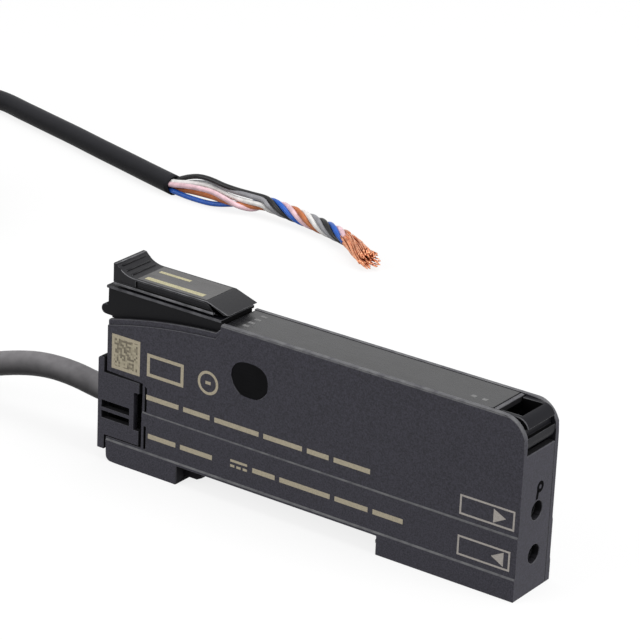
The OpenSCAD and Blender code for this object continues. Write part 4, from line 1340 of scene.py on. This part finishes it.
@dataclass
class Housing:
    """Every moulded piece that shows from outside."""

    pieces: tuple[Moulding, ...] = (
        Moulding("case_shell", "case", "case_plastic", 0.14, 0.32, rim_mm=28.0),
        Moulding("side_cover", "case", "case_plastic", 0.14, 0.32, rim_mm=28.0),
        Moulding("end_cap", "case", "case_plastic", 0.07),
        Moulding("cable_bush", "case", "bush_rubber", 0.08),
        Moulding("key_deck", "case", "deck_plastic", 0.07, 0.7),
        Moulding("key_lid", "key_lid", "lid_plastic", 0.1, 0.9),
        Moulding("mode_key", "mode_key", "key_plastic"),
        Moulding("up_key", "up_key", "key_plastic"),
        Moulding("down_key", "down_key", "key_plastic"),
        Moulding("set_key", "set_key", "key_plastic"),
        Moulding("display_window", "case", "panel_plastic", 0.08),
        Moulding("comm_window_near", "case", "window_plastic", 0.05),
        Moulding("comm_window_far", "case", "window_plastic", 0.05),
        Moulding("fibre_lock_lever", "fibre_lock_lever", "lever_plastic", 0.12, 0.7),
        Moulding("rail_hook", "rail_hook", "case_plastic", 0.08),
        Moulding("coil_tie", "case", "tie", 0.15))
    cover: str = "key_lid"
    rays: int = 20
    lift_mm: float = 0.02
    reach_mm: float = 9.0
    open_share: float = 0.26
    closed_share: float = 0.41

    def build(self, shop: Workshop) -> None:
        """Builds each moulding and paints shade on its closed-in faces.

        Args:
            shop: Workshop that registers the pieces.
        """
        made = {piece.node: piece.build(shop) for piece in self.pieces}
        self.find_recesses([obj for node, obj in made.items() if node != self.cover])
        self.find_recesses([made[self.cover]])

    def find_recesses(self, group: Sequence[Object]) -> None:
        """Stores on each face how closed in it is by the mouldings of its group, as painted shade that darkens
        the plastic there.

        Args:
            group: Mouldings that can close each other in.
        """
        joined = bmesh.new()
        for obj in group:
            joined.from_mesh(obj.data)
        tree = BVHTree.FromBMesh(joined)
        joined.free()
        for obj in group:
            obj.data.calc_loop_triangles()
            sums = [[0.0, 0.0] for _ in obj.data.polygons]
            for tri in obj.data.loop_triangles:
                total = sums[tri.polygon_index]
                total[0] += tri.area * self.closed_in(tree, tri.center, tri.normal)
                total[1] += tri.area
            # Painted shade: the share by which each face is closed in darkens its colour.
            store = obj.data.attributes.new("recess", "FLOAT", "FACE")
            for total, value in zip(sums, store.data):
                value.value = total[0] / max(total[1], 1e-12)

    def closed_in(self, tree: BVHTree, point: Vector, normal: Vector) -> float:
        """Casts rays over a face's hemisphere.

        Args:
            tree: Surfaces that can close the face in.
            point: Middle of the face.
            normal: Direction that the face looks.

        Returns:
            Zero for an open face, one for a closed-in one.
        """
        start = point + normal * self.lift_mm * MM
        turn = normal.to_track_quat("Z", "Y")
        hits = 0
        for i in range(self.rays):
            height = math.sqrt((i + 0.5) / self.rays)
            flat = math.sqrt(1 - height * height)
            angle = GOLDEN_ANGLE * i
            aim = turn @ Vector((flat * math.cos(angle), flat * math.sin(angle), height))
            if tree.ray_cast(start, aim, self.reach_mm * MM)[0] is not None:
                hits += 1
        share = (hits / self.rays - self.open_share) / (self.closed_share - self.open_share)
        return min(1.0, max(0.0, share))


def main() -> None:
    """Builds the amplifier's sub-assemblies in order."""
    logging.basicConfig(level=logging.INFO, format="%(message)s")
    Studio().build()
    shop = Workshop()
    for assembly in (Housing(), Cable(), CoreBundle(), FacePrint(), WindowRims(), PanelMarks(), KeyMarks(),
                     Internals()):
        assembly.build(shop)
    LOG.info("%d pieces made", len(shop.made))


if __name__ == "__main__":
    main()
